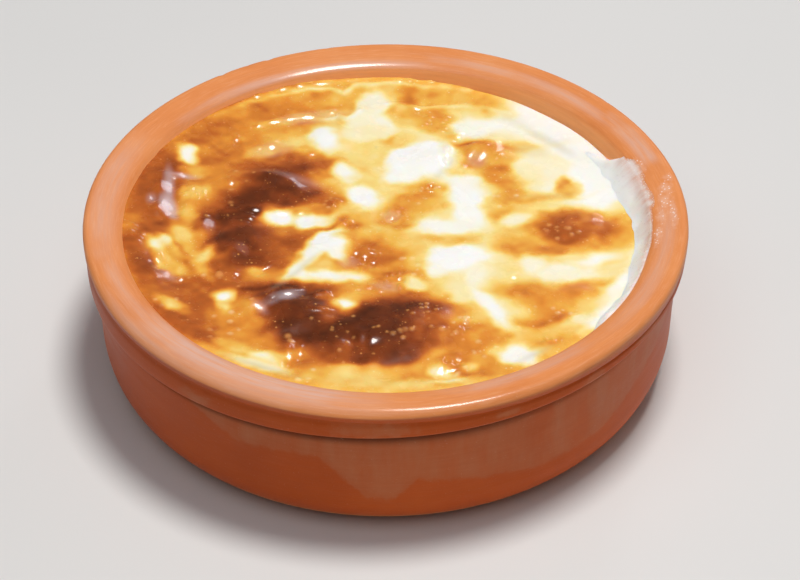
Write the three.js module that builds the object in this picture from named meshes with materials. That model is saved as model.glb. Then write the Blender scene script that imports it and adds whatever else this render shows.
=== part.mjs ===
// Oven-baked rice pudding, with its browned milk skin, in a round thrown terracotta dish.
// Millimetres, +Z up. The origin is the middle of the dish's flat base, and -Y is the front.
import * as THREE from 'three';

// Dish, outside
const DISH_RADIUS = 65;
const DISH_HEIGHT = 36.5;
const BASE_RADIUS = 54.4;
const WALL_RADIUS = 63.2;
const FOOT_HEIGHT = 11;
const COLLAR_HEIGHT = 7.8;
const COLLAR_TILT = 2.6;
const COVE_HEIGHT = 3;
const UNDERCUT_RADIUS = 62.6;
const UNDERCUT_DROP = 0.6;
const BEAD_RADIUS = 64.8;
const BEAD_ROUNDING = 1.2;
const GROOVE_RADIUS = 64.45;
const GROOVE_HEIGHT = 1.8;
const LIP_HEIGHT = 3;

// Dish, rim and inside
const RIM_EDGE_ROUNDING = 1.1;
const RIM_EDGE_DEGREES = 75;
const RIM_CREST_RADIUS = 63.4;
const RIM_MIDDLE_DROP = 0.7;
const BEVEL_RADIUS = 58.6;
const BEVEL_DROP = 1.5;
const LIP_RADIUS = 57.1;
const LIP_DROP = 2.33;
const LIP_WALL_HEIGHT = 2.6;
const INNER_RADIUS = 56.2;
const FLOOR_THICKNESS = 7;
const FLOOR_CORNER = 6;
const DISH_SIDES = 88;
const ARC_STEPS = 5;

// The rim's outer edge sags at the front: its depth, the radius where it starts,
// and the share of the depth by angle in degrees.
const RIM_SAG = 1.8;
const RIM_SAG_START = 61.3;
const RIM_SAG_SHARES = [
  [-172, 0], [-158, 0.4], [-146, 0.9], [-130, 1], [-95, 1],
  [-78, 0.8], [-60, 0.65], [-50, 0.25], [-42, 0],
];

// Pudding
const CLEARANCE = 0.3;
const PUDDING_LEVEL = 30.95;
const LEVEL_TILT = 1.7;
const WALL_CLING = 1.05;
const CLING_WIDTH = 9;
const CENTRE_SAG = 0.4;
const PUDDING_RINGS = 30;
const POINTS_PER_RING = 6;
const FOLD_EDGE = 0.5;
const FOLD_END_FADE = 0.08;
const FOLD_LEFT_AT_WALL = 0.3;
const EDGE_DROP = 0.3;

// The places of the relief were read as on a level skin. The skin falls to the right,
// so each millimetre to the right moves them this far to the back.
const PLAN_SLANT = 0.037;

// Swells and hollows of the skin: centre, half length and half width, turn in degrees, height.
const SWELLS = [
  { name: 'dark swell, back left', x: -25, y: 17, long: 17, wide: 10, turn: 12, height: 0.65 },
  { name: 'dark swell, left', x: -32, y: -4, long: 13, wide: 8, turn: 70, height: 0.9 },
  { name: 'dark swell, front left', x: -18, y: -30, long: 13, wide: 10, turn: -25, height: 1.3 },
  { name: 'dark swell, front', x: 1, y: -35, long: 17, wide: 11, turn: 15, height: 1.45 },
  { name: 'brown swell, right', x: 42, y: -1, long: 14, wide: 8, turn: -5, height: 0.8 },
  { name: 'brown swell, back', x: 22, y: 25, long: 10, wide: 8, turn: -10, height: 0.7 },
  { name: 'brown swell, right front', x: 32, y: -24, long: 15, wide: 7, turn: 10, height: 0.65 },
  { name: 'pale swell, centre', x: 8, y: 23, long: 10, wide: 9, turn: 0, height: 0.65 },
  { name: 'pale ridge', x: -13, y: -9, long: 14, wide: 6, turn: 55, height: 0.8 },
  { name: 'pale swell, right', x: 16, y: -10, long: 10, wide: 9, turn: 0, height: 0.5 },
  { name: 'pale swell, back', x: -13, y: 33, long: 8, wide: 6, turn: -40, height: 0.9 },
  { name: 'pale swell, back edge', x: -3, y: 44, long: 9, wide: 6, turn: 40, height: 0.65 },
  { name: 'golden swell, left', x: -44, y: 11, long: 8, wide: 6, turn: 60, height: 0.65 },
  { name: 'hollow, back edge', x: -23, y: 46, long: 15, wide: 5, turn: 22, height: -0.4 },
  { name: 'hollow, back right', x: 14, y: 48, long: 16, wide: 5, turn: -8, height: -0.3 },
  { name: 'hollow, left island', x: -22, y: 2, long: 8, wide: 5, turn: -10, height: -0.65 },
  { name: 'hollow, centre', x: 2, y: 4, long: 9, wide: 6, turn: 30, height: -0.5 },
  { name: 'hollow, wrinkles', x: -2, y: -14, long: 9, wide: 7, turn: -50, height: -0.65 },
  { name: 'hollow, left edge', x: -48, y: -12, long: 14, wide: 5, turn: -55, height: -0.7 },
  { name: 'hollow, front', x: 5, y: -48, long: 20, wide: 5, turn: 3, height: -0.4 },
];

// Folds and creases of the skin. The side to the left of the line is raised by height,
// and the side to its right is raised by front times height, each over the width.
const FOLDS = [
  {
    line: [[-34, 45], [-27, 49.8], [-20, 52.4], [-12, 53], [0, 54.6], [10, 54.2], [20, 51.6]],
    height: 0.5, width: 2, front: 1,
  },
  {
    line: [[-30, 37], [-24, 39.5], [-20, 41.2], [-13, 42], [-7, 43]],
    height: 0.5, width: 2, front: 1,
  },
  {
    line: [[1, 46.5], [8, 45.3], [14, 45.6], [22, 46], [28, 42.5]],
    height: 0.4, width: 2, front: 1,
  },
  { line: [[-40, 3.5], [-33, 5], [-27, 7.5], [-12, 10.5]], height: 0.18, width: 4, front: -0.5 },
  { line: [[-32, -21], [-26, -22], [-15, -19.5]], height: 0.45, width: 3, front: 0.9 },
  { line: [[12, 31], [22, 31.2], [30, 29.5]], height: 0.3, width: 3, front: 0.8 },
  { line: [[-12, 26.5], [-5, 21], [1, 16.5]], height: 0.4, width: 2, front: 1 },
  { line: [[-52, -1], [-43, -13], [-37, -19]], height: 0.35, width: 3.5, front: -0.5 },
  { line: [[29, 39], [34, 35], [38, 31], [42, 26.5]], height: -0.3, width: 1.8, front: 1 },
  { line: [[31, 38], [37, 33], [42, 27.5], [48, 20]], height: 0.6, width: 2.4, front: 0.3 },
  { line: [[30, 10.5], [38, 10.8], [46, 12.5]], height: 0.16, width: 3, front: -0.4 },
  { line: [[38, -12.5], [45, -14], [52, -11]], height: 0.2, width: 3, front: -0.4 },
  { line: [[-36, -39.5], [-28, -43.5], [-18, -47]], height: 0.25, width: 3, front: -0.6 },
  { line: [[-4, -46], [5, -43.5], [13, -42.5]], height: 0.15, width: 4, front: -0.4 },
];

// An arc of profile points about a centre, angles in degrees from the outward radius.
function arc(centreRadius, centreHeight, radial, tall, fromDegrees, toDegrees) {
  const points = [];
  for (let step = 0; step <= ARC_STEPS; step += 1) {
    const share = step / ARC_STEPS;
    const angle = THREE.MathUtils.degToRad(THREE.MathUtils.lerp(fromDegrees, toDegrees, share));
    const radius = centreRadius + radial * Math.cos(angle);
    const height = centreHeight + tall * Math.sin(angle);
    points.push(new THREE.Vector2(radius, height));
  }
  return points;
}

// Inside corner between floor and wall, set in from the dish's own inside by a gap.
function insideCorner(gap, fromDegrees, toDegrees) {
  const size = FLOOR_CORNER - gap;
  const centreRadius = INNER_RADIUS - FLOOR_CORNER;
  const centreHeight = FLOOR_THICKNESS + FLOOR_CORNER;
  return arc(centreRadius, centreHeight, size, size, fromDegrees, toDegrees);
}

// Half section of the dish, from the middle of the base round to the middle of the floor.
function dishSection() {
  const point = (radius, height) => new THREE.Vector2(radius, height);
  const collarFoot = DISH_HEIGHT - COLLAR_HEIGHT;
  const lipFoot = DISH_HEIGHT - LIP_HEIGHT;
  const lip = DISH_HEIGHT - LIP_DROP;
  const footSpread = WALL_RADIUS - BASE_RADIUS;
  return [
    point(0, 0),
    ...arc(BASE_RADIUS, FOOT_HEIGHT, footSpread, FOOT_HEIGHT, -90, 0),
    point(WALL_RADIUS, collarFoot - COVE_HEIGHT),
    point(UNDERCUT_RADIUS, collarFoot - UNDERCUT_DROP),
    point(BEAD_RADIUS - BEAD_ROUNDING / 4, collarFoot),
    point(BEAD_RADIUS, collarFoot + BEAD_ROUNDING),
    point(BEAD_RADIUS, lipFoot - GROOVE_HEIGHT),
    point(GROOVE_RADIUS, lipFoot - GROOVE_HEIGHT / 2),
    point(DISH_RADIUS, lipFoot),
    ...arc(DISH_RADIUS - RIM_EDGE_ROUNDING, DISH_HEIGHT - RIM_EDGE_ROUNDING,
      RIM_EDGE_ROUNDING, RIM_EDGE_ROUNDING, 0, RIM_EDGE_DEGREES),
    point(RIM_CREST_RADIUS, DISH_HEIGHT),
    point((RIM_CREST_RADIUS + BEVEL_RADIUS) / 2, DISH_HEIGHT - RIM_MIDDLE_DROP),
    point(BEVEL_RADIUS, DISH_HEIGHT - BEVEL_DROP),
    point(LIP_RADIUS, lip),
    point(INNER_RADIUS, lip - LIP_WALL_HEIGHT),
    ...insideCorner(0, 0, -90),
    point(0, FLOOR_THICKNESS),
  ];
}

// How much of the collar's tilt a height takes: all at the collar's foot, none at the rim or the foot.
function tiltShare(height) {
  const collarFoot = DISH_HEIGHT - COLLAR_HEIGHT;
  const fromFoot = (height - FOOT_HEIGHT) / (collarFoot - FOOT_HEIGHT);
  const fromRim = (DISH_HEIGHT - LIP_HEIGHT - height) / (COLLAR_HEIGHT - LIP_HEIGHT);
  return THREE.MathUtils.clamp(Math.min(fromFoot, fromRim), 0, 1);
}

// How far the rim's outer edge hangs below an even rim.
function rimSag(x, y, z) {
  const degrees = THREE.MathUtils.radToDeg(Math.atan2(y, x));
  const next = RIM_SAG_SHARES.findIndex(([angle]) => angle > degrees);
  if (next < 1) {
    return 0;
  }
  const [fromAngle, fromShare] = RIM_SAG_SHARES[next - 1];
  const [toAngle, toShare] = RIM_SAG_SHARES[next];
  const share = THREE.MathUtils.mapLinear(degrees, fromAngle, toAngle, fromShare, toShare);
  const across = THREE.MathUtils.inverseLerp(RIM_SAG_START, DISH_RADIUS, Math.hypot(x, y));
  const tall = THREE.MathUtils.smoothstep(z, DISH_HEIGHT - LIP_HEIGHT, DISH_HEIGHT);
  return RIM_SAG * share * THREE.MathUtils.clamp(across, 0, 1) * tall;
}

// The dish is turned on its axis, then the collar's lower edge is tilted, deep at -X and shallow at +X,
// and the rim's outer edge sags.
function dishGeometry() {
  const geometry = new THREE.LatheGeometry(dishSection(), DISH_SIDES);
  geometry.rotateX(Math.PI / 2);
  const place = geometry.attributes.position;
  for (let index = 0; index < place.count; index += 1) {
    const x = place.getX(index);
    const y = place.getY(index);
    const z = place.getZ(index);
    const radius = Math.hypot(x, y);
    if (radius > RIM_CREST_RADIUS - 2) {
      const tilt = COLLAR_TILT * tiltShare(z) * (x / radius);
      place.setZ(index, z + tilt - rimSag(x, y, z));
    }
  }
  return geometry;
}

// Height of one swell over a point: a smooth mound inside its ellipse, nothing outside.
function swellHeight(swell, x, y) {
  const turn = THREE.MathUtils.degToRad(swell.turn);
  const east = x - swell.x;
  const north = y - swell.y;
  const along = (east * Math.cos(turn) + north * Math.sin(turn)) / swell.long;
  const across = (north * Math.cos(turn) - east * Math.sin(turn)) / swell.wide;
  const inside = Math.max(0, 1 - along * along - across * across);
  return swell.height * inside * inside;
}

// Distance from a point to a fold's line, positive on the left of it, and 0 to 1 along the line.
function foldPlace(line, x, y) {
  let nearest = { distance: Infinity, side: 0, along: 0 };
  const last = line.length - 1;
  for (let piece = 0; piece < last; piece += 1) {
    const [startX, startY] = line[piece];
    const [endX, endY] = line[piece + 1];
    const runX = endX - startX;
    const runY = endY - startY;
    const length = Math.hypot(runX, runY);
    const share = ((x - startX) * runX + (y - startY) * runY) / (length * length);
    const held = THREE.MathUtils.clamp(share, 0, 1);
    const distance = Math.hypot(x - startX - held * runX, y - startY - held * runY);
    if (distance < nearest.distance) {
      const side = (runX * (y - startY) - runY * (x - startX)) / length;
      nearest = { distance, side: Math.sign(side) * distance, along: (piece + held) / last };
    }
  }
  return nearest;
}

// Height of one fold over a point: a raised side and a sunk side that fade along the line's ends.
function foldHeight(fold, x, y) {
  const place = foldPlace(fold.line, x, y);
  const spread = Math.exp(-((place.distance / fold.width) ** 2));
  const left = 1 / (1 + Math.exp(-place.side / FOLD_EDGE));
  const fade = Math.sin(Math.PI * THREE.MathUtils.clamp(place.along, FOLD_END_FADE, 1 - FOLD_END_FADE));
  return fold.height * spread * Math.sqrt(fade) * (fold.front + (1 - fold.front) * left);
}

// Height of the pudding's skin over a point: its sloping level, how it clings to the wall, and its relief.
function skinHeight(x, y) {
  const radius = Math.hypot(x, y);
  const planY = y - PLAN_SLANT * x;
  const cling = THREE.MathUtils.smoothstep(radius, INNER_RADIUS - CLING_WIDTH, INNER_RADIUS);
  const sag = CENTRE_SAG * (1 - (radius / INNER_RADIUS) ** 2);
  const foldHold = THREE.MathUtils.lerp(1, FOLD_LEFT_AT_WALL, cling);
  let height = PUDDING_LEVEL - LEVEL_TILT * x / INNER_RADIUS + WALL_CLING * cling - sag;
  for (const swell of SWELLS) {
    height += (1 - cling) * swellHeight(swell, x, planY);
  }
  for (const fold of FOLDS) {
    height += foldHold * foldHeight(fold, x, planY);
  }
  return height;
}

// Radius of the dish's inner wall at a height: upright, then leaning out to the lip.
function wallRadius(height) {
  const lip = DISH_HEIGHT - LIP_DROP;
  const share = THREE.MathUtils.clamp((height - lip + LIP_WALL_HEIGHT) / LIP_WALL_HEIGHT, 0, 1);
  return THREE.MathUtils.lerp(INNER_RADIUS, LIP_RADIUS, share);
}

// Radius and height of the skin's edge in one direction, a clearance away from the wall.
function skinEdge(angle) {
  const inner = INNER_RADIUS - CLEARANCE;
  const height = skinHeight(inner * Math.cos(angle), inner * Math.sin(angle));
  return { radius: wallRadius(height) - CLEARANCE, height };
}

// Points of the pudding: rings from the middle of the skin out to the wall, then down to the floor.
// The first ring below the edge is where the wall turns upright, or just under the edge if that is lower.
function puddingPoints() {
  const points = [[0, 0, skinHeight(0, 0)]];
  const rimCount = POINTS_PER_RING * PUDDING_RINGS;
  const upright = DISH_HEIGHT - LIP_DROP - LIP_WALL_HEIGHT;
  const turn = (index, count) => 2 * Math.PI * index / count;
  const push = (angle, radius, height) => {
    points.push([radius * Math.cos(angle), radius * Math.sin(angle), height]);
  };
  for (let ring = 1; ring <= PUDDING_RINGS; ring += 1) {
    const count = POINTS_PER_RING * ring;
    for (let index = 0; index < count; index += 1) {
      const angle = turn(index, count);
      const radius = skinEdge(angle).radius * ring / PUDDING_RINGS;
      push(angle, radius, skinHeight(radius * Math.cos(angle), radius * Math.sin(angle)));
    }
  }
  for (let index = 0; index < rimCount; index += 1) {
    const angle = turn(index, rimCount);
    const height = Math.min(upright, skinEdge(angle).height - EDGE_DROP);
    push(angle, INNER_RADIUS - CLEARANCE, height);
  }
  for (const level of insideCorner(CLEARANCE, 0, -90)) {
    for (let index = 0; index < rimCount; index += 1) {
      push(turn(index, rimCount), level.x, level.y);
    }
  }
  points.push([0, 0, FLOOR_THICKNESS + CLEARANCE]);
  return points;
}

// Triangles of the skin: each ring has six more points than the one inside it.
function skinTriangles() {
  const triangles = [];
  const firstOfRing = (ring) => (ring === 0 ? 0 : 1 + POINTS_PER_RING * ring * (ring - 1) / 2);
  const ringPoint = (ring, index) => {
    const count = Math.max(1, POINTS_PER_RING * ring);
    return firstOfRing(ring) + index % count;
  };
  for (let ring = 1; ring <= PUDDING_RINGS; ring += 1) {
    for (let sector = 0; sector < POINTS_PER_RING; sector += 1) {
      for (let step = 0; step < ring; step += 1) {
        const inner = ringPoint(ring - 1, sector * (ring - 1) + step);
        const outer = ringPoint(ring, sector * ring + step);
        const nextOuter = ringPoint(ring, sector * ring + step + 1);
        triangles.push(inner, outer, nextOuter);
        if (step < ring - 1) {
          const nextInner = ringPoint(ring - 1, sector * (ring - 1) + step + 1);
          triangles.push(inner, nextOuter, nextInner);
        }
      }
    }
  }
  return triangles;
}

// Triangles of the side and the underside, from the skin's outer ring down to the last point.
function sideTriangles(pointCount) {
  const triangles = [];
  const rimCount = POINTS_PER_RING * PUDDING_RINGS;
  const firstRim = 1 + POINTS_PER_RING * PUDDING_RINGS * (PUDDING_RINGS - 1) / 2;
  const last = pointCount - 1;
  for (let upper = firstRim; upper + 2 * rimCount <= last; upper += rimCount) {
    for (let index = 0; index < rimCount; index += 1) {
      const next = (index + 1) % rimCount;
      const lower = upper + rimCount;
      triangles.push(lower + index, lower + next, upper + next);
      triangles.push(lower + index, upper + next, upper + index);
    }
  }
  const lowest = last - rimCount;
  for (let index = 0; index < rimCount; index += 1) {
    triangles.push(last, lowest + (index + 1) % rimCount, lowest + index);
  }
  return triangles;
}

function puddingGeometry() {
  const points = puddingPoints();
  const geometry = new THREE.BufferGeometry();
  geometry.setAttribute('position', new THREE.Float32BufferAttribute(points.flat(), 3));
  geometry.setIndex([...skinTriangles(), ...sideTriangles(points.length)]);
  geometry.computeVertexNormals();
  return geometry;
}

function namedMesh(name, geometry, color, roughness) {
  const material = new THREE.MeshStandardMaterial({ color, roughness, metalness: 0 });
  const mesh = new THREE.Mesh(geometry, material);
  mesh.name = name;
  return mesh;
}

const ricePudding = new THREE.Group();
ricePudding.add(namedMesh('dish', dishGeometry(), 0xd9824f, 0.6));
ricePudding.add(namedMesh('pudding', puddingGeometry(), 0xe6b257, 0.35));

export default ricePudding;
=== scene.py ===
"""Oven-baked rice pudding in a terracotta dish: the looks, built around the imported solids."""
import itertools
import math

import bpy
import numpy as np
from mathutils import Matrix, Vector


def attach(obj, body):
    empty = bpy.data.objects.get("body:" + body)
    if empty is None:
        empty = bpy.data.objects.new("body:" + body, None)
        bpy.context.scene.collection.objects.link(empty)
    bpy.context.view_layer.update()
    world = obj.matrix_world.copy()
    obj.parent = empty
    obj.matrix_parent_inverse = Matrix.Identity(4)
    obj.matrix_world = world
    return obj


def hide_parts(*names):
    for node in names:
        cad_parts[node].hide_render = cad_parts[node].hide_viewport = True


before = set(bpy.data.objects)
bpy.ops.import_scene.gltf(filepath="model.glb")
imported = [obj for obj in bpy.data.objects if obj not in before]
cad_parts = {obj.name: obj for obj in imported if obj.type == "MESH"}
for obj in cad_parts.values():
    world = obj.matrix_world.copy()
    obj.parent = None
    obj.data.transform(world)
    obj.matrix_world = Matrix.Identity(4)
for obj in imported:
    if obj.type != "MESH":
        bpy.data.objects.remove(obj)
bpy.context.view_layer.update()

# Sizes are in millimetres, as in the part, and become metres when a mesh is made.
MM = 0.001

# Dish
DISH_RADIUS = 65
DISH_HEIGHT = 36.5
BASE_RADIUS = 54.4
WALL_RADIUS = 63.2
FOOT_HEIGHT = 11
COLLAR_HEIGHT = 7.8
COLLAR_TILT = 2.6
COVE_HEIGHT = 3
UNDERCUT_RADIUS = 62.6
UNDERCUT_DROP = 0.6
BEAD_RADIUS = 64.8
BEAD_ROUNDING = 1.2
GROOVE_RADIUS = 64.45
GROOVE_HEIGHT = 1.8
LIP_HEIGHT = 3
RIM_EDGE_ROUNDING = 1.1
RIM_EDGE_DEGREES = 75
RIM_CREST_RADIUS = 63.4
RIM_MIDDLE_DROP = 0.7
BEVEL_RADIUS = 58.6
BEVEL_DROP = 1.5
LIP_RADIUS = 57.1
LIP_DROP = 2.33
LIP_WALL_HEIGHT = 2.6
INNER_RADIUS = 56.2
FLOOR_THICKNESS = 7
FLOOR_CORNER = 6
DISH_COLUMNS = 720
DISH_STEP = 0.5
DISH_HIDDEN_STEP = 3
DISH_HIDDEN_BELOW = 27
COLLAR_FOOT = DISH_HEIGHT - COLLAR_HEIGHT
LIP_FOOT = DISH_HEIGHT - LIP_HEIGHT
INNER_LIP = DISH_HEIGHT - LIP_DROP
SKIRT_HEIGHT = FLOOR_THICKNESS + FLOOR_CORNER

# The rim's outer edge sags at the front: depth, radius where it starts, and angle with share of the depth.
RIM_SAG = 1.8
RIM_SAG_START = 61.3
RIM_SAG_SHARES = [
    (-172, 0), (-158, 0.4), (-146, 0.9), (-130, 1), (-95, 1), (-78, 0.8), (-60, 0.65), (-50, 0.25), (-42, 0),
]

# Chips in the rim's outer edge: angle in degrees, height, radius, depth.
CHIPS = [
    (127, 36, 0.8, 0.22), (121, 35.8, 0.5, 0.15), (116, 36, 0.8, 0.22), (103, 35.8, 0.5, 0.12),
    (38, 35.9, 0.5, 0.12),
]

# Pale bloom of the clay. The wall's bloom reaches from the collar down to this edge: angle, height.
WALL_BLOOM_EDGE = [
    (-130, 28), (-118, 21), (-102, 22), (-93, 11), (-88, 11), (-84, 16), (-60, 12), (-45, 13), (-30, 19),
    (-10, 28),
]
BLOOM_ENDS_EDGE = 40
NO_BLOOM = -5
# Patches of bloom on the bead: angle, height, half width in degrees, half height.
BEAD_BLOOMS = [(-92, 31, 6, 1.6), (-50, 30, 2, 1.6), (-33, 31, 4, 1.3), (-68, 31, 2, 0.8), (-125, 30, 3, 1)]
# Pale bloom on the rim, with painted light in two patches: at -128 degrees on the outer shoulder and at 112
# degrees at the back of the lip. Each is angle, half width in degrees, radius of its middle, half width,
# strength.
RIM_BLOOMS_AND_LIGHT = [
    (-117, 25, 60.2, 3.4, 0.95), (-128, 24, 63.9, 1, 0.5), (-62, 16, 59.5, 2, 0.55),
    (-20, 22, 60.5, 1.8, 0.45), (24, 9, 61.2, 1.9, 0.7), (55, 24, 60.2, 1.2, 0.6), (112, 30, 58.2, 1.2, 0.6),
    (176, 20, 61.2, 2.6, 0.5), (-150, 14, 60.8, 1.6, 0.5),
]

# Painted shade: the shoulder and outer wall darker than the rim and darker still towards the foot, a dark
# line under the collar, and the left of the wall darker. Burnish on lip and edge.
# An arc is its middle, the angle to which it is full, and the angle where it ends.
FOOT_PAINTED_SHADE = 0.25
UNDERCUT_SHADE_HEIGHT = 1.8
UNDERCUT_SHADE_ARC = (-105, 25, 75)
SHADE_ANGLES = (-75, -125)
SHADE_SHARE = 0.18
BACK_POLISH_ARC = (95, 45, 75)
FRONT_POLISH_ARC = (-85, 50, 80)

# Milk that dried on the wall and the rim at the right: angle, how far it climbs past the lip.
FILM_ENDS = [
    (34, -6), (26, -3.4), (20.8, -0.2), (19, 1.2), (14.5, 1.3), (10, 0.9), (5, 1), (1.5, 0.7), (-3, 0),
    (-10, -0.6), (-15, -1.2), (-22, -1.8), (-32, -2.2), (-42, -2.8), (-50, -4),
]
# Where the milk starts on the pudding: angle, radius.
FILM_STARTS = [
    (34, 53), (28, 52.6), (21, 51.8), (14, 52), (8, 52.8), (3, 53.6), (-1, 53.9), (-6, 54), (-15, 53.6),
    (-30, 54), (-50, 55.2),
]
FILM_THICKNESS = 0.08
FILM_SINK = 0.05
FILM_RISE = FILM_THICKNESS + FILM_SINK
FILM_DEPTH = 0.6
FILM_COLUMNS = 300
FILM_STEP = 0.25
FILM_RIM_RADIUS = 62
STREAKS_ROUND = 0.5
STREAKS_UP = 0.2
# Dust of dried milk further out on the rim: angle, radius, half width in degrees, half width.
DUSTS = [
    (9.5, 62.6, 2.6, 2), (6.5, 61.5, 4, 2.6), (3, 60.4, 4.5, 2.2), (-2, 59.2, 6, 1.8), (-8, 58.6, 7, 1.5),
    (16, 58.8, 5, 1.4), (-1, 62, 9, 1.4),
]

# Pudding
PUDDING_LEVEL = 30.95
LEVEL_TILT = 1.7
WALL_CLING = 1.05
CLING_WIDTH = 9
CENTRE_SAG = 0.4
FOLD_EDGE = 0.5
FOLD_END_FADE = 0.08
FOLD_LEFT_AT_WALL = 0.3
FOLD_SHADING_WIDTH = 0.8
SKIN_RINGS = 178
SKIN_OVERLAP = 0.9
BASE_TONE = 0.35
UNDER_TONE = 0.1
# The skin flows in streaks: this turns its plane by 20 degrees and shortens it along and across them.
FLOW_TURN = np.array([[0.94 / 8, -0.34 / 3, 0], [0.34 / 8, 0.94 / 3, 0], [0, 0, 1]])

# Photograph: the camera was fitted to the rim, the inner lip, the collar and the base.
PHOTO_WIDTH = 800
FOCAL_PIXELS = 2000
RIM_CENTRE_PIXELS = (-13.9, 84.8)
CAMERA_ELEVATION = math.radians(39.5)
CAMERA_DEPTH = 431.4
SENSOR_WIDTH = 36
CLIP_START = 0.01
# The lists below were laid out on a level plane. The skin falls to the right, and this moves them with it.
PLAN_SLANT = LEVEL_TILT / INNER_RADIUS / math.tan(CAMERA_ELEVATION)

# Stage. A light is its name, place in metres, size, power and colour. The key stands where the rim's two
# highlights put it.
KEY_PLACE = (0.12, 0.04, 0.95)
SKY_PLACE = (-0.1, -0.3, 0.85)
WINDOW_PLACE = (0.35, 0.95, 0.5)
LIGHTS = [
    ("key", KEY_PLACE, 0.25, 6.6, (1, 0.99, 0.97)),
    ("sky", SKY_PLACE, 0.9, 1.9, (0.97, 0.97, 1)),
    ("window", WINDOW_PLACE, 0.22, 0.9, (0.9, 0.9, 1)),
]
WORLD_COLOUR = (0.95, 0.95, 1, 1)
WORLD_STRENGTH = 0.12
FLOOR_SIZE = 8

# Swells and hollows of the skin: x, y, half length, half width, turn in degrees, height.
SWELLS = [
    (-25, 17, 17, 10, 12, 0.65), (-32, -4, 13, 8, 70, 0.9), (-18, -30, 13, 10, -25, 1.3),
    (1, -35, 17, 11, 15, 1.45), (42, -1, 14, 8, -5, 0.8), (22, 25, 10, 8, -10, 0.7),
    (32, -24, 15, 7, 10, 0.65), (8, 23, 10, 9, 0, 0.65), (-13, -9, 14, 6, 55, 0.8), (16, -10, 10, 9, 0, 0.5),
    (-13, 33, 8, 6, -40, 0.9), (-3, 44, 9, 6, 40, 0.65), (-44, 11, 8, 6, 60, 0.65),
    (-23, 46, 15, 5, 22, -0.4), (14, 48, 16, 5, -8, -0.3), (-22, 2, 8, 5, -10, -0.65), (2, 4, 9, 6, 30, -0.5),
    (-2, -14, 9, 7, -50, -0.65), (-48, -12, 14, 5, -55, -0.7), (5, -48, 20, 5, 3, -0.4),
]

# Folds of the skin: line, height to the left of it, width, share of the height to the right, and shading
# painted along the line: positive is a dark line of painted shade in the crease, negative a pale line of
# painted highlight on the ridge.
FOLDS = [
    ([(-34, 45), (-27, 49.8), (-20, 52.4), (-14, 53.4), (-11, 51.8), (-8, 53.8), (0, 54.6), (10, 54.2),
      (20, 51.6)], 0.5, 0.9, 1, -0.2),
    ([(-30, 37), (-24, 39.5), (-20, 41.2), (-15, 41.3), (-12.5, 43), (-10, 41.2),
      (-7, 43.5)], 0.5, 1, 1, -0.15),
    ([(1, 46.5), (8, 45.3), (14, 45.6), (22, 46), (28, 42.5)], 0.4, 1, 1, -0.15),
    ([(-40, 3.5), (-33, 5), (-27, 7.5), (-12, 10.5)], 0.18, 4, -0.5, 0.05),
    ([(-32, -21), (-26, -22), (-15, -19.5)], 0.45, 3, 0.9, 0.1),
    ([(12, 31), (22, 31.2), (30, 29.5)], 0.3, 3, 0.8, 0.1),
    ([(-12, 26.5), (-5, 21), (1, 16.5)], 0.4, 2, 1, 0.05),
    ([(-52, -1), (-43, -13), (-37, -19)], 0.35, 3.5, -0.5, 0.12),
    ([(29, 39), (34, 35), (38, 31), (42, 26.5)], -0.3, 1.8, 1, 0.03),
    ([(31, 38), (37, 33), (42, 27.5), (48, 20)], 0.6, 2.4, 0.3, 0),
    ([(30, 10.5), (38, 10.8), (46, 12.5)], 0.16, 3, -0.4, 0.08),
    ([(38, -12.5), (45, -14), (52, -11)], 0.2, 3, -0.4, 0.08),
    ([(-36, -39.5), (-28, -43.5), (-18, -47)], 0.25, 3, -0.6, 0.1),
    ([(-4, -46), (5, -43.5), (13, -42.5)], 0.15, 4, -0.4, 0.08),
    ([(-40, 25), (-33, 22.8), (-27, 22)], 0.18, 3, -0.5, 0.03),
    ([(-8, -15.8), (0, -14.6), (8, -14)], 0.15, 3, -0.5, 0.1),
    ([(25, -31.5), (31, -32.5), (36, -30)], 0.15, 2.5, -0.5, 0.08),
]

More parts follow.
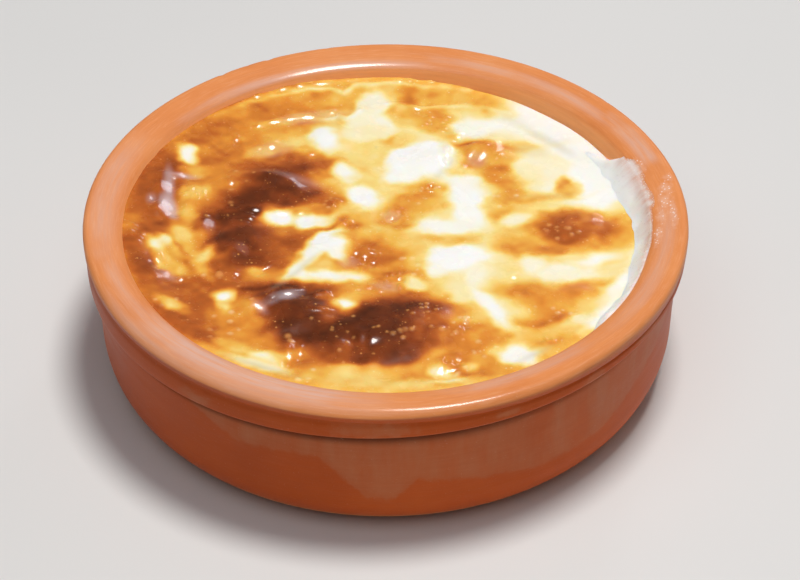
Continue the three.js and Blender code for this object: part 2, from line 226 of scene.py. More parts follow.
# Browning of the skin, painted in this order: x, y, half length, half width, turn, tone.
# Tone 0 is white milk, 0.3 pale yellow, 0.45 golden, 0.6 orange brown, 0.8 brown and 1 scorched.
GROUNDS = [
    (-35, 0, 30, 45, 0, 0.6), (0, 48, 30, 10, 0, 0.4), (0, 20, 20, 20, 0, 0.27), (35, 25, 26, 24, 0, 0.07),
    (20, -8, 14, 22, 0, 0.2), (40, -15, 22, 18, 0, 0.23), (0, -48, 40, 12, 0, 0.43), (2, -12, 7, 14, 0, 0.4),
]
BROWNS = [
    (-52, 12, 20, 4.6, 96, 0.72), (-52, -14, 12, 2.6, -62, 0.74), (-46, -27, 9, 2.2, -50, 0.7),
    (27, 43.5, 5, 2.6, -15, 0.26), (30, 31.5, 7, 2, -25, 0.17), (32, 20, 3, 6, 0, 0.22),
    (38, 33, 5, 2, -45, 0.1), (24, 33, 4, 2, 0, 0.22), (-40.5, 36, 8, 3.6, 60, 0.67),
    (-27, 44, 9, 4, 18, 0.6), (-18, 48.5, 9, 4, 8, 0.55), (-37, 43.5, 4, 3, 45, 0.5),
    (-36, 31, 5, 4.5, 60, 0.61), (-25, 37, 8, 3.5, 15, 0.56), (-22, 33.5, 5, 2.5, 10, 0.47),
    (-38, 21, 4, 3.6, 20, 0.56), (-49, 21, 4, 3, 70, 0.72), (-10, 50, 5, 4, 0, 0.44),
    (5.5, 50.5, 4.6, 2.4, 100, 0.57), (8.5, 44, 4, 2.6, -60, 0.52), (11.5, 39.5, 5, 3.4, -65, 0.51),
    (13.5, 34.5, 3.5, 2, -70, 0.44), (17, 49, 8, 3.5, -8, 0.44), (22, 46, 6, 3, -15, 0.42),
    (2, 33.3, 2.6, 2, 0, 0.46), (22, 25.5, 8, 6, -10, 0.5), (20.5, 30, 7.5, 1.1, 0, 0.64),
    (26, 17, 6.5, 4.2, -80, 0.53), (27.5, 9.3, 5, 2.4, 15, 0.62), (34, 10.6, 5, 1.2, 5, 0.46),
    (42, -1, 15.5, 8, -8, 0.46), (42, 0, 8.5, 5.2, -8, 0.63), (38.3, -1.5, 4.8, 4.5, -30, 0.74),
    (45, -1.5, 5.5, 3, -10, 0.66), (29.5, -6.5, 6.5, 4.5, -10, 0.5), (29, -22.5, 5.5, 3, -30, 0.55),
    (41, -22.5, 8, 3, 10, 0.53), (31, -27, 4, 1.8, -70, 0.48), (36, -29, 4, 3, -20, 0.48),
    (15, -28.5, 3.5, 3, 0, 0.46), (11.5, -28, 3, 3, 0, 0.62), (24, 4.5, 3.5, 3, 0, 0.42),
    (-12, 23, 3, 3, 0, 0.46), (-24, -40, 4, 2, -20, 0.6), (30.5, -31.8, 4.5, 0.8, 5, 0.6),
    (34.5, -36, 5, 3, -20, 0.43), (33, -38.5, 2, 0.9, 0, 0.62), (5, 7.5, 7, 4.6, 40, 0.47),
    (3, 6.3, 3.6, 3, 40, 0.54), (9, 10.5, 4, 3, 60, 0.45), (10, 14.3, 2.6, 0.7, 0, 0.55),
    (0, 3, 4, 2.5, 0, 0.46), (-9.5, 1.5, 3.4, 2.4, 20, 0.58), (-3, -10.5, 6.5, 5, -10, 0.61),
    (2, -16.5, 5, 4.5, -60, 0.57), (-1.5, -22, 6, 2.6, -10, 0.51), (-47, -20, 7.5, 3, -50, 0.74),
    (-40, -24, 7, 4, -35, 0.72), (-38, -34, 6, 4, -40, 0.74), (-43, -30, 6, 3, -48, 0.72),
    (-31.5, -33, 4.5, 4.5, 0, 0.53), (-33.5, -15.5, 5, 4, -30, 0.69), (-35, -20.5, 5, 2.5, 0, 0.64),
    (-15, -44.5, 4.5, 3, -15, 0.6), (-11, -44, 4, 2.6, 0, 0.63), (5.5, -48.5, 4, 2.6, 10, 0.52),
    (14, -45, 4.5, 3.4, 30, 0.58), (15.5, -38.5, 6, 4.6, -20, 0.62), (21, -36, 4, 3, -30, 0.54),
    (20, -41.5, 3.5, 2, -20, 0.56), (19.5, -47.5, 3, 2, 20, 0.6),
]
SCORCHES = [
    (-20.5, 22.3, 8, 3.2, -5, 0.79), (-14.5, 23, 3, 2.6, -30, 0.7), (-23.5, 17, 9.5, 4.8, -12, 0.81),
    (-25.5, 10.5, 8.5, 4.2, 8, 0.93), (-18, 10.7, 6, 1, 0, 0.77), (-13, 8.7, 3.6, 1.6, 0, 0.72),
    (-33, 4, 7.5, 4.5, 20, 0.89), (-33, -2, 7, 4.2, 80, 0.86), (-29.5, -7.5, 8, 6, -45, 0.88),
    (-21.5, -6, 5, 4.5, 30, 0.73), (-26.5, -12.5, 4.5, 3.5, -30, 0.84), (-20.5, -23.5, 7.5, 2.8, 8, 0.93),
    (-17, -30.4, 8, 7.3, -15, 0.93), (-12.5, -35.5, 8, 5.5, 0, 0.93), (-1, -34, 9.5, 8.5, 10, 0.96),
    (5, -28.5, 7.5, 4.6, 15, 0.9), (10, -33, 3.2, 5, 15, 0.72), (3, -40, 7, 4, 15, 0.89),
    (-4, -42.5, 6, 2.6, 5, 0.82), (7.5, -37, 3.4, 4.6, 0, 0.78),
]
ISLANDS = [
    (-44.8, 25.8, 3.3, 2.1, -62, 0.04), (-42.8, 11.5, 3.6, 3, 80, 0.42), (-42.5, 4.5, 4, 2, 100, 0.45),
    (-44.5, -2.5, 4.5, 2.4, -60, 0.37), (-41.5, -9, 4.5, 1.8, -65, 0.42), (-49.2, -6, 3.4, 2.2, -60, 0.06),
    (-45.5, -11, 5, 1.7, -55, 0.34), (-38.8, -10.5, 3.2, 1.2, 60, 0.28), (-40, -15.5, 3, 2.2, -50, 0.42),
    (-3.5, 46, 5, 4.4, 50, 0.1), (-6.5, 40, 5.5, 3.4, 60, 0.13), (-1, 38, 3, 4, 0, 0.08),
    (-4.5, 35.3, 5.5, 2.6, 15, 0.15), (-14.3, 32.3, 4.6, 3.2, -58, 0), (-20, 32, 3.4, 2.2, 20, 0.34),
    (-28, 27.5, 3.6, 2, 10, 0.4), (8, 24.5, 7.6, 6.6, 35, 0), (4, 18.5, 4.4, 3.2, 20, 0.02),
    (13.8, 27, 2, 4, 20, 0.06), (20.5, 37, 4.4, 3.2, 0, 0.06), (38, 38.5, 10, 4, -46, 0.02),
    (46, 28, 6, 3, -60, 0.02), (44, 22, 10, 6, -50, 0.02), (36, 22, 6, 6, 0, 0.13),
    (48, 12.5, 5.5, 4.5, 90, 0.02), (28.5, 2.5, 3, 2.2, 20, 0.12), (35, 7.5, 3, 1.8, 10, 0.28),
    (17.2, 9, 9.5, 3.4, 95, 0.01), (14, 0.5, 7.5, 2.6, 8, 0.05), (15.5, -10.8, 6, 4.6, 0, 0),
    (11, -14.5, 2.2, 2.6, 0, 0.05), (19.5, -16, 2.4, 3.4, 0, 0.1), (31.5, -13, 2.4, 3.2, 0, 0.09),
    (37.5, -16.5, 5, 3.6, 0, 0.1), (42.5, -15.5, 3, 3, 0, 0.12), (44.5, -11.8, 4.2, 1.5, 25, 0.02),
    (40, -31.8, 3, 2, 30, 0.15), (46, -30.5, 7, 2, 50, 0.04), (50.5, -20.5, 6, 1.8, 58, 0.03),
    (53.5, -12, 4, 1.2, 75, 0.03), (27, -43, 4.4, 3.2, -40, 0.02), (22.3, -27.5, 7.3, 2.2, -66, 0.01),
    (16.5, -23, 2.4, 2.2, 60, 0.18), (6.3, -19.7, 2.2, 2.4, 70, 0.17), (-5.2, 11, 5, 3.6, -60, 0.02),
    (-9, 20.5, 2.9, 2.3, -45, 0.03), (-12, -6, 4.6, 4, 60, 0.01), (-9.8, -10, 2.4, 2.2, 0, 0.06),
    (-16.3, -9.5, 3, 2.4, 50, 0.03), (-19, -14.5, 4.6, 1.8, 52, 0.04), (-17, -16, 2.6, 1.5, 0, 0.03),
    (-12.3, -17, 4.8, 1.6, 5, 0.04), (-7.5, -17.5, 3, 1.6, 10, 0.06), (-13.3, -13.5, 2.6, 1.8, 20, 0.36),
    (-27.5, -16.5, 2.8, 2.2, -40, 0.44), (-20, 6.5, 5, 1.4, 0, 0.46), (-24, 3.2, 3.2, 2.6, 0, 0.01),
    (-17, 2.2, 3.8, 2.6, -10, 0.02), (-12.3, 3.3, 2.6, 1, 35, 0.26), (-32.8, -24, 2, 2.6, 0, 0.02),
    (-32.3, -28, 1.4, 1.1, 0, 0.24), (-44, -27.3, 2.6, 1.1, -35, 0.2), (-9, -26.6, 3, 2.8, 0, 0.45),
    (-8.9, -26.6, 1.9, 1.7, 0, 0.02), (-30, -40.3, 3.6, 1.8, -25, 0.4), (-22, -43, 2.6, 1.6, 0, 0.36),
    (-25.5, -43.3, 1.8, 1.6, 0, 0.06), (-25, -45.6, 6.5, 2, -22, 0.14), (-5, -47.6, 5.5, 2.2, -5, 0.32),
    (0, -51, 8, 2, 0, 0.34), (12.8, -51.3, 2.8, 1, 15, 0.14), (11.5, -47.5, 1.8, 2.4, 80, 0.16),
    (17.3, -46, 1, 1.3, 0, 0.3), (40.3, 14.3, 3.2, 3.2, 0, 0.47), (13.5, -4.2, 5.5, 1.8, 0, 0.41),
    (-43.5, 19.5, 3, 2.4, 0, 0.42), (-18, 54.8, 6, 0.5, 14, 0.64), (-28, 50.9, 5.5, 0.5, 31, 0.66),
    (-37, 45, 6, 0.6, 42, 0.66), (-28.3, -29, 2.4, 4.5, -10, 0.5), (16.5, 20.3, 2.2, 1.4, 0, 0.3),
    # The first patch on the next line is partly pale skin and partly a painted highlight where the skin
    # glints.
    (-48.2, -12.2, 2.4, 1.2, -60, 0.3), (4.2, 0.2, 2.6, 1.6, 0, 0.5), (-8, 0.2, 3.2, 2, 0, 0.58),
    (36, -8, 3, 1.8, 0, 0.59), (-32, 32, 2.6, 1.8, 0, 0.52), (-24, -16, 2, 1.4, 40, 0.55),
    (-12, -30, 2, 3, 0, 0.74), (-12, -24, 2, 1.2, 0, 0.6), (32, 20, 3, 2.5, 0, 0.17),
    (-8, -3.5, 2, 1.2, 0, 0.44), (12, -36, 1.6, 2, 0, 0.6), (-28, -32.3, 2, 1.6, 0, 0.58),
    (-20, -40, 2.2, 1.6, 0, 0.69), (48, -12, 2.4, 1.4, 20, 0.18), (-24, 24.3, 2.2, 1.2, 0, 0.64),
]
# Painted shade, greenish grey, in the creases and along the ledges of the pale skin: x, y, half length, half
# width, turn, share.
CREASE_SHADES = [
    (36, 33, 5, 0.9, -44, 0.3), (40, 28.6, 3.5, 0.8, -50, 0.35), (29, 39.5, 4, 1.2, -30, 0.15),
    (33, 28, 4, 2, -20, 0.2), (36, 11, 6, 0.7, 4, 0.15), (-18.5, -15.5, 4, 0.5, 52, 0.5),
    (12, 19, 3, 1, 60, 0.25), (-25, -46.6, 5, 0.7, -22, 0.5), (30, -43, 3, 0.8, 35, 0.4),
]
# Painted lavender sheen on the skin, standing in for reflections: x, y, half length, half width, turn, share.
PAINTED_SHEENS = [
    (-45.4, 18.2, 2.2, 0.7, 3, 0.65), (-48.2, 14, 4.5, 0.8, 95, 0.75), (-47.8, 7.2, 3.2, 1.6, 108, 0.8),
    (-46.8, 4.2, 1.4, 0.7, 125, 0.7), (-51.5, 8.8, 1.4, 0.8, 90, 0.4), (-46, -16.5, 2.2, 1, -40, 0.3),
    (-26, 28.5, 5, 2.5, 20, 0.14), (-17, 41.5, 8, 2.5, 12, 0.16), (-20, 17, 5, 1, -20, 0.2),
    (-20.4, -24, 2.4, 1, 24, 0.62), (-23.4, -26.4, 1.4, 0.7, 20, 0.3), (-25.8, -28, 1.3, 0.6, -48, 0.4),
    (0, -20.3, 2.5, 1.5, -20, 0.2), (20.5, 24.5, 2.2, 2, -20, 0.2), (-8, -12, 2, 1.5, 0, 0.2),
    (1, 4.4, 2, 1.6, 0, 0.2),
]
GROUND_BLEND = 7
BROWN_BLEND = 2.6
SCORCH_BLEND = 3
ISLAND_BLEND = 1.4
PAINTED_LIGHT_BLEND = 1

# Small faces of the skin that lean so that they mirror the light: x, y, half length, half width, turn, lean.
FACETS = [
    (-44.8, 12.4, 0.7, 0.9, 0, 1), (-44.3, 10.3, 0.6, 0.8, 0, 1), (-26.2, 29.3, 1.1, 1.6, 0, 1),
    (-29, 28.6, 0.6, 0.7, 0, 1), (-34.4, 32, 0.6, 1.2, 10, 1), (-17, 26.6, 0.9, 0.8, 0, 1),
    (-17.5, 41.2, 3, 0.7, 5, 1), (-22.6, 40.3, 1.3, 0.8, 15, 1), (-26, 39.2, 1.8, 0.8, 25, 1),
    (-29.6, 37.6, 0.9, 0.8, 30, 1), (-12.8, 43, 0.7, 1, 0, 1), (-16, 53.6, 2.8, 0.9, 8, 1),
    (-24.6, 51.2, 1.4, 0.9, 30, 1), (-20.6, 52.7, 1, 0.9, 20, 1), (-30.6, 48, 0.9, 0.9, 0, 1),
    (-34.5, 15.4, 0.8, 1.2, 0, 0.95), (-28.6, 5.4, 0.8, 0.9, 0, 1), (-29.5, 2.3, 0.6, 1, 20, 0.95),
    (-22.8, 5, 1.2, 0.6, 0, 0.95), (-18.5, 5.2, 0.8, 0.6, 0, 0.95), (19.4, 26.2, 1.1, 2.4, -20, 1),
    (21.9, 25.6, 1.2, 2.8, -20, 1), (25, 24.6, 0.4, 1, -20, 0.95), (7, 44.6, 1.2, 0.6, -50, 1),
    (13.8, 40.6, 0.6, 0.9, 0, 0.95), (13.8, 37.2, 0.6, 0.9, 0, 0.95), (10, 40.4, 0.6, 0.9, 0, 0.9),
    (16.5, 33.5, 0.8, 1.2, 0, 1), (13.8, 26.3, 0.7, 1.7, 0, 0.95), (3, 54.9, 0.8, 0.7, 0, 1),
    (5.4, 54.9, 0.8, 0.7, 0, 1), (10.6, 54.5, 1, 0.7, 0, 1), (-48.3, -12, 0.7, 1.7, 10, 1),
    (-43, -18.2, 0.8, 0.8, 0, 1), (-53.8, -2.4, 1.2, 0.6, -50, 1), (-52.3, -5, 0.9, 0.5, -50, 0.95),
    (-31.3, -16.7, 0.6, 1, 25, 1), (-25.5, -14.6, 1.6, 0.5, 50, 0.95), (-23.6, -25.4, 0.8, 1.1, -30, 1),
    (-20, -23.6, 1.9, 0.9, 27, 1), (-26.2, -28, 1.7, 1.3, -48, 1), (-13.6, -23.5, 1, 0.8, 0, 0.95),
    (-13.8, -29.5, 1.5, 0.7, 10, 1), (-19.3, -43, 0.7, 2.2, 5, 1), (-17, -42, 0.5, 1.4, 0, 1),
    (-4.6, -38, 0.8, 1.6, 20, 0.95), (-2.4, -38.9, 1, 1.2, 0, 1), (-3, -21, 1.3, 0.8, -10, 1),
    (-0.8, -22, 1, 0.7, 0, 1), (-5.6, -21.5, 0.7, 0.6, 0, 1), (2.4, -17.8, 1, 0.8, 30, 1),
    (0.8, -20, 0.8, 0.7, 0, 1), (14.4, -43.4, 0.9, 1.1, 20, 1), (13.9, -47.2, 1, 0.8, 10, 1),
    (11.4, -47.6, 1.2, 1.7, 0, 1), (17, -46, 0.5, 0.7, 0, 1), (27, -17.6, 0.8, 0.9, 0, 1),
    (2.6, 5.6, 0.6, 0.9, 0, 1), (1.2, 3.6, 0.6, 0.8, 0, 1), (-4.4, -10.5, 0.6, 0.9, 0, 1),
    (-2.6, -12.2, 0.6, 0.8, 0, 1), (-6.4, -9.4, 0.5, 0.8, 0, 1),
]
FACET_SIZE = 1.5
FACET_SMOOTHING = 0.7
SLOPE_REACH = 0.5
# Faces broader than this have a steeper border.
BROAD_FACET = 1.5
# Softer faces that mirror the window instead.
SHEENS = [
    (-48.6, 13, 1.6, 4.5, 0, 1), (-48, 6.5, 2.2, 2.6, 0, 1), (-45.6, 18.3, 2.6, 1.2, 5, 1),
    (-51.4, 9, 0.9, 1.4, 0, 1), (-46, -16.3, 2, 2, -30, 0.9), (-38.3, 0, 2, 3, 0, 0.85),
    (-20.5, 16, 4.5, 1.4, -20, 0.85), (-8, -39, 2, 1.4, 0, 0.9), (-53.6, -2, 1.2, 1, -50, 1),
    (-31, -8, 2, 2, 30, 0.7), (-20.8, -24.2, 3.6, 1.4, 27, 1), (-25.8, -28.4, 2.2, 1.2, -48, 1),
]

# Patches of fine wrinkles in the skin: x, y, radius.
WRINKLES = [
    (1.8, 5, 4), (-4, -11, 5.5), (2.3, -18, 4.5), (-9.5, 1.5, 3), (-11.5, 8.6, 2.4), (13, -46, 4.5),
    (33, -38.5, 2), (-42.5, 11.5, 3.6), (16, -34, 3), (-13, -23.5, 2.5), (10, 14.3, 2.4), (-53, -3, 3),
]
WRINKLE_HEIGHT = 0.42
WRINKLE_SIZE = 1.3
WRINKLE_STRETCH = 0.6
WRINKLE_SEED = 31

BUBBLE_HEIGHT = 0.2
BUBBLE_SEED = 41
# Groups of small bubbles in the skin: x, y, spread, count, largest radius.
BUBBLES = [
    (39, -2.5, 1.4, 8, 0.75), (35.5, -1.5, 1, 3, 0.8), (3, -37, 2.5, 9, 0.8), (8.8, -27, 1.4, 8, 0.6),
    (6.5, -33, 2.5, 5, 0.7), (16, -34, 2.5, 10, 1), (-34.5, -16.5, 0.5, 2, 1), (-37.5, -19.5, 2.5, 5, 0.7),
    (-35, -35.5, 2.5, 5, 0.9), (-18, -36, 2.5, 4, 0.9), (-11, -33, 2.5, 4, 0.8), (-6, -40, 3, 8, 0.7),
    (-31, -27.5, 3, 5, 0.8), (-35, 10, 4, 6, 0.8), (-33, 18, 2.5, 4, 1), (-12, 8.8, 1.6, 7, 0.6),
    (24, 10, 2.4, 6, 0.8), (17, -46, 2.5, 6, 0.9), (19, -41, 3, 8, 0.6), (29, -31, 2, 5, 0.7),
    (38, -31, 1.8, 6, 0.8), (8, 13.5, 1.6, 6, 0.7), (2, 7, 3, 6, 0.6), (4, -12, 1.5, 4, 0.8),
    (8, -15.5, 1, 4, 0.8), (-42, -28, 2, 4, 0.8), (2, 27, 1.5, 5, 0.7), (-14, -49, 2, 3, 0.9),
]

# Noises: strength, size and seed of each layer. Those of the clay are read on a narrower cylinder, so that
# they run slowly round the dish. Bends have layers along x and along y.
LATTICE_SIDE = 32
LATTICE_SHIFT = 0.37
LAY_RADIUS = 4
THROWING_LINES = [(0.03, 1.6, 11), (0.05, 4.5, 12)]
WAVE_RADIUS = 40
HAND_WAVES = [(0.16, 26, 13)]
HAZE_TEARS = [(3, 4, 14)]
TONE_BENDS = [
    [(1.3, 6, 21), (0.7, 2.6, 22), (0.22, 1.1, 25)],
    [(1.3, 6, 23), (0.7, 2.6, 24), (0.22, 1.1, 26)],
]
GROUND_MOTTLE = [(0.04, 5, 27)]
FLOW_TONES = [(0.08, 1, 28)]
BROWN_MOTTLE = [(0.05, 1.6, 29)]
SKIN_MOTTLE = [(0.02, 3.5, 30)]
GOLD_MOTTLE = [(0.05, 2.6, 32)]
FOLD_BENDS = [[(1.2, 7, 54), (0.5, 3, 55)], [(1.2, 7, 56), (0.5, 3, 57)]]
SKIN_WAVES = [(0.15, 7, 51)]
SKIN_RELIEF = [(0.05, 3, 52)]
BROWN_RELIEF = [(0.04, 1.3, 53)]
FLOW_RIDGES = [(0.16, 1, 58)]
FILM_END_TEARS = [(0.5, 2.6, 61), (0.25, 1.1, 62)]
FILM_START_TEARS = [(1.2, 6, 63), (0.7, 2.4, 64)]
FILM_LUMPS = [(0.12, 2.2, 65)]

# Colours as screen values from 0 to 255; the stops of a ramp start with their position.
RIM_CLAY = [(0.3, 221, 135, 76), (0.5, 226, 142, 83), (0.72, 230, 150, 92)]
# A darker, redder copy of the rim's clay for the shoulder and outer wall: painted shade.
SHADED_WALL_CLAY = [(0.3, 200, 86, 26), (0.5, 206, 90, 29), (0.72, 211, 96, 35)]
BLOOM_COLOUR = (206, 124, 82)
# Pale colour of the rim's bloom, also laid on as painted light.
HAZE_AND_LIGHT_COLOUR = (222, 181, 163)
# Painted light on the shaded inner wall below the lip.
INNER_WALL_LIGHT_COLOUR = (255, 174, 110)
LINE_COLOUR = (180, 86, 48)
COMB_COLOUR = (240, 180, 140)
# Colour of the painted shade under the collar and on the left of the wall.
PAINTED_SHADE_COLOUR = (70, 36, 24)
GRIT_COLOUR = (245, 205, 175)
DUST_COLOUR = (244, 226, 216)
SKIN_COLOURS = [
    (0, 249, 248, 243), (0.07, 248, 243, 225), (0.15, 249, 235, 190), (0.28, 247, 218, 133),
    (0.42, 240, 184, 80), (0.55, 226, 144, 53), (0.68, 190, 100, 38), (0.8, 144, 67, 25),
    (0.9, 107, 48, 18), (1, 77, 34, 12),
]
# Colour of the painted shade in creases of the pale skin.
CREASE_SHADE_COLOUR = (196, 190, 158)
# Colour of the painted sheen on the skin.
PAINTED_SHEEN_COLOUR = (206, 186, 188)
DOT_COLOURS = [(0.4, 253, 234, 178), (0.65, 231, 160, 88)]
FILM_COLOURS = [
    (0, 226, 142, 96), (0.25, 226, 170, 142), (0.45, 230, 204, 194), (0.7, 241, 232, 229),
    (0.95, 249, 248, 243),
]
FROTH_COLOUR = (250, 244, 240)
FLOOR_COLOURS = [(0.3, 218, 217, 215), (0.7, 224, 223, 221)]
# Drips of bloom are longer upright, and a dot is full out to this share of its radius.
DRIP_STRETCH = (1, 1, 0.25)
DOT_CORE = 0.6


def noise(points, size, seed):
    """Smooth noise from -1 to 1 at points, with lumps about size across."""
    lattice = np.random.default_rng(seed).uniform(-1, 1, (LATTICE_SIDE,) * 3)
    place = points / size + LATTICE_SHIFT * seed
    cell = np.floor(place).astype(int)
    part = place - cell
    part = part * part * (3 - 2 * part)
    total = np.zeros(len(points))
    for corner in itertools.product((0, 1), repeat=3):
        weight = np.prod(np.where(corner, part, 1 - part), axis=1)
        total += weight * lattice[tuple((cell + corner).T % LATTICE_SIDE)]
    return total


def layered(points, layers):
    """Noises added up, each given by its strength, size and seed."""
    return sum(strength * noise(points, size, seed) for strength, size, seed in layers)


def smoothstep(low, high, value):
    share = np.clip((value - low) / (high - low), 0, 1)
    return share * share * (3 - 2 * share)


def bell(value, width):
    return np.exp(-(value / width) ** 2)


def flat_points(x, y):
    return np.stack([x, y, np.zeros(len(x))], axis=1)


def round_points(angle, radius, height):
    return np.stack([radius * np.cos(angle), radius * np.sin(angle), height], axis=1)


def bent(x, y, bends):
    """Places shifted unevenly, so that what is laid out there gets ragged edges."""
    flat = flat_points(x, y)
    return x + layered(flat, bends[0]), y + layered(flat, bends[1])


def ellipse_distance(x, y, centre_x, centre_y, long, wide, turn):
    """1 on the edge of a turned ellipse, less inside it and more outside."""
    angle = math.radians(turn)
    east = x - centre_x
    north = y - centre_y
    along = (east * math.cos(angle) + north * math.sin(angle)) / long
    across = (north * math.cos(angle) - east * math.sin(angle)) / wide
    return np.hypot(along, across)


def from_angle(angle, centre):
    """Degrees from a direction, from -180 to 180."""
    return (np.degrees(angle) - centre + 180) % 360 - 180


def grid_quads(rows, columns, closed):
    """Faces of rows of points; a closed grid joins its last column to its first."""
    column = np.arange(columns if closed else columns - 1)
    following = (column + 1) % columns
    low = np.arange(rows - 1)[:, None] * columns
    high = low + columns
    return np.stack([low + column, low + following, high + following, high + column], axis=-1).reshape(-1, 4)


def linked_object(name, data):
    made = bpy.data.objects.new(name, data)
    bpy.context.scene.collection.objects.link(made)
    return made


def mesh_piece(name, points, faces, material, fields):
    """A smooth mesh object from millimetre points, with its material and what that reads at each point."""
    mesh = bpy.data.meshes.new(name)
    mesh.from_pydata((np.asarray(points) * MM).tolist(), [], faces)
    mesh.polygons.foreach_set("use_smooth", np.ones(len(mesh.polygons), dtype=bool))
    mesh.materials.append(material)
    for field, values in fields.items():
        kind, key = ("FLOAT", "value") if np.ndim(values) == 1 else ("FLOAT_VECTOR", "vector")
        attribute = mesh.attributes.new(field, kind, "POINT")
        attribute.data.foreach_set(key, np.asarray(values, dtype=np.float32).ravel())
    piece = linked_object(name, mesh)
    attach(piece, "root")
    return piece


# Materials
def linear(red, green, blue):
    """A colour given as screen values from 0 to 255, as the linear values that shaders take."""
    shares = [value / 255 for value in (red, green, blue)]
    return tuple(s / 12.92 if s < 0.04045 else ((s + 0.055) / 1.055) ** 2.4 for s in shares) + (1.0,)


class Shading:
    """A material under way. Inputs of its nodes are numbers, colours or sockets to link."""

    def __init__(self, name):
        self.material = bpy.data.materials.new(name)
        self.material.use_nodes = True
        self.tree = self.material.node_tree
        self.tree.nodes.clear()
        self.place = self.node("ShaderNodeTexCoord", {}).outputs["Object"]

    def node(self, kind, inputs, **settings):
        made = self.tree.nodes.new(kind)
        for name, value in settings.items():
            setattr(made, name, value)
        for key, value in inputs.items():
            if isinstance(value, bpy.types.NodeSocket):
                self.tree.links.new(value, made.inputs[key])
            else:
                made.inputs[key].default_value = value
        return made

    def calc(self, operation, *values):
        return self.node("ShaderNodeMath", dict(enumerate(values)), operation=operation).outputs[0]

    def times(self, first, second):
        return self.calc("MULTIPLY", first, second)

    def read(self, name, output="Fac"):
        """What the mesh holds under this name."""
        return self.node("ShaderNodeAttribute", {}, attribute_name=name).outputs[output]

    def noise(self, scale, detail=3, roughness=0.55, vector=None):
        vector = self.place if vector is None else vector
        inputs = {"Vector": vector, "Scale": scale, "Detail": detail, "Roughness": roughness}
        return self.node("ShaderNodeTexNoise", inputs).outputs["Fac"]

    def uneven(self, noise, strength, value):
        """A value that noise raises and lowers."""
        return self.calc("MULTIPLY_ADD", self.calc("SUBTRACT", noise, 0.5), strength, value)

    def remap(self, value, from_low, from_high, to_low, to_high):
        """A value mapped from one range to another, and held at its ends."""
        inputs = dict(zip(("Value", "From Min", "From Max", "To Min", "To Max"),
                          (value, from_low, from_high, to_low, to_high)))
        return self.node("ShaderNodeMapRange", inputs).outputs["Result"]

    def dots(self, scale, radius):
        """1 inside scattered round dots and 0 between them; the radius is a share of their spacing."""
        cells = self.node("ShaderNodeTexVoronoi", {"Vector": self.place, "Scale": scale})
        return self.remap(cells.outputs["Distance"], DOT_CORE * radius, radius, 1, 0)

    def ramp(self, factor, stops):
        """Colours along a factor, each stop with its position and its screen values."""
        made = self.node("ShaderNodeValToRGB", {"Fac": factor})
        elements = made.color_ramp.elements
        while len(elements) < len(stops):
            elements.new(0.5)
        for element, (position, *colour) in zip(elements, stops):
            element.position = position
            element.color = linear(*colour)
        return made.outputs["Color"]

    def mix(self, factor, under, over):
        """One colour laid over another; the upper one may be screen values."""
        over = linear(*over) if isinstance(over, tuple) else over
        # Sockets 6 and 7 and output 2 are the node's colour ones.
        return self.node("ShaderNodeMix", {0: factor, 6: under, 7: over}, data_type="RGBA").outputs[2]

    def bump(self, height, distance, strength):
        inputs = {"Height": height, "Distance": distance, "Strength": strength}
        return self.node("ShaderNodeBump", inputs).outputs["Normal"]

    def finish(self, inputs):
        shader = self.node("ShaderNodeBsdfPrincipled", inputs)
        self.node("ShaderNodeOutputMaterial", {"Surface": shader.outputs["BSDF"]})
        return self.material


# Dish
def arc(centre_radius, centre_height, radial, tall, from_degrees, to_degrees, steps=8):
    angle = np.radians(np.linspace(from_degrees, to_degrees, steps + 1))
    return list(zip(centre_radius + radial * np.cos(angle), centre_height + tall * np.sin(angle)))


def rounded(points, rounds):
    """The outline with its corners cut again and again, so that they round off."""
    points = np.asarray(points, dtype=float)
    for _ in range(rounds):
        near = 0.75 * points[:-1] + 0.25 * points[1:]
        far = 0.25 * points[:-1] + 0.75 * points[1:]
        middle = np.stack([near, far], axis=1).reshape(-1, 2)
        points = np.concatenate([points[:1], middle, points[-1:]])
    return points


def lengths_along(points):
    return np.concatenate([[0], np.cumsum(np.hypot(*np.diff(points, axis=0).T))])


def resampled(points, step):
    """The outline again with points about step apart."""
    along = lengths_along(points)
    places = np.linspace(0, along[-1], max(2, int(along[-1] / step)))
    return np.stack([np.interp(places, along, points[:, axis]) for axis in (0, 1)], axis=1)


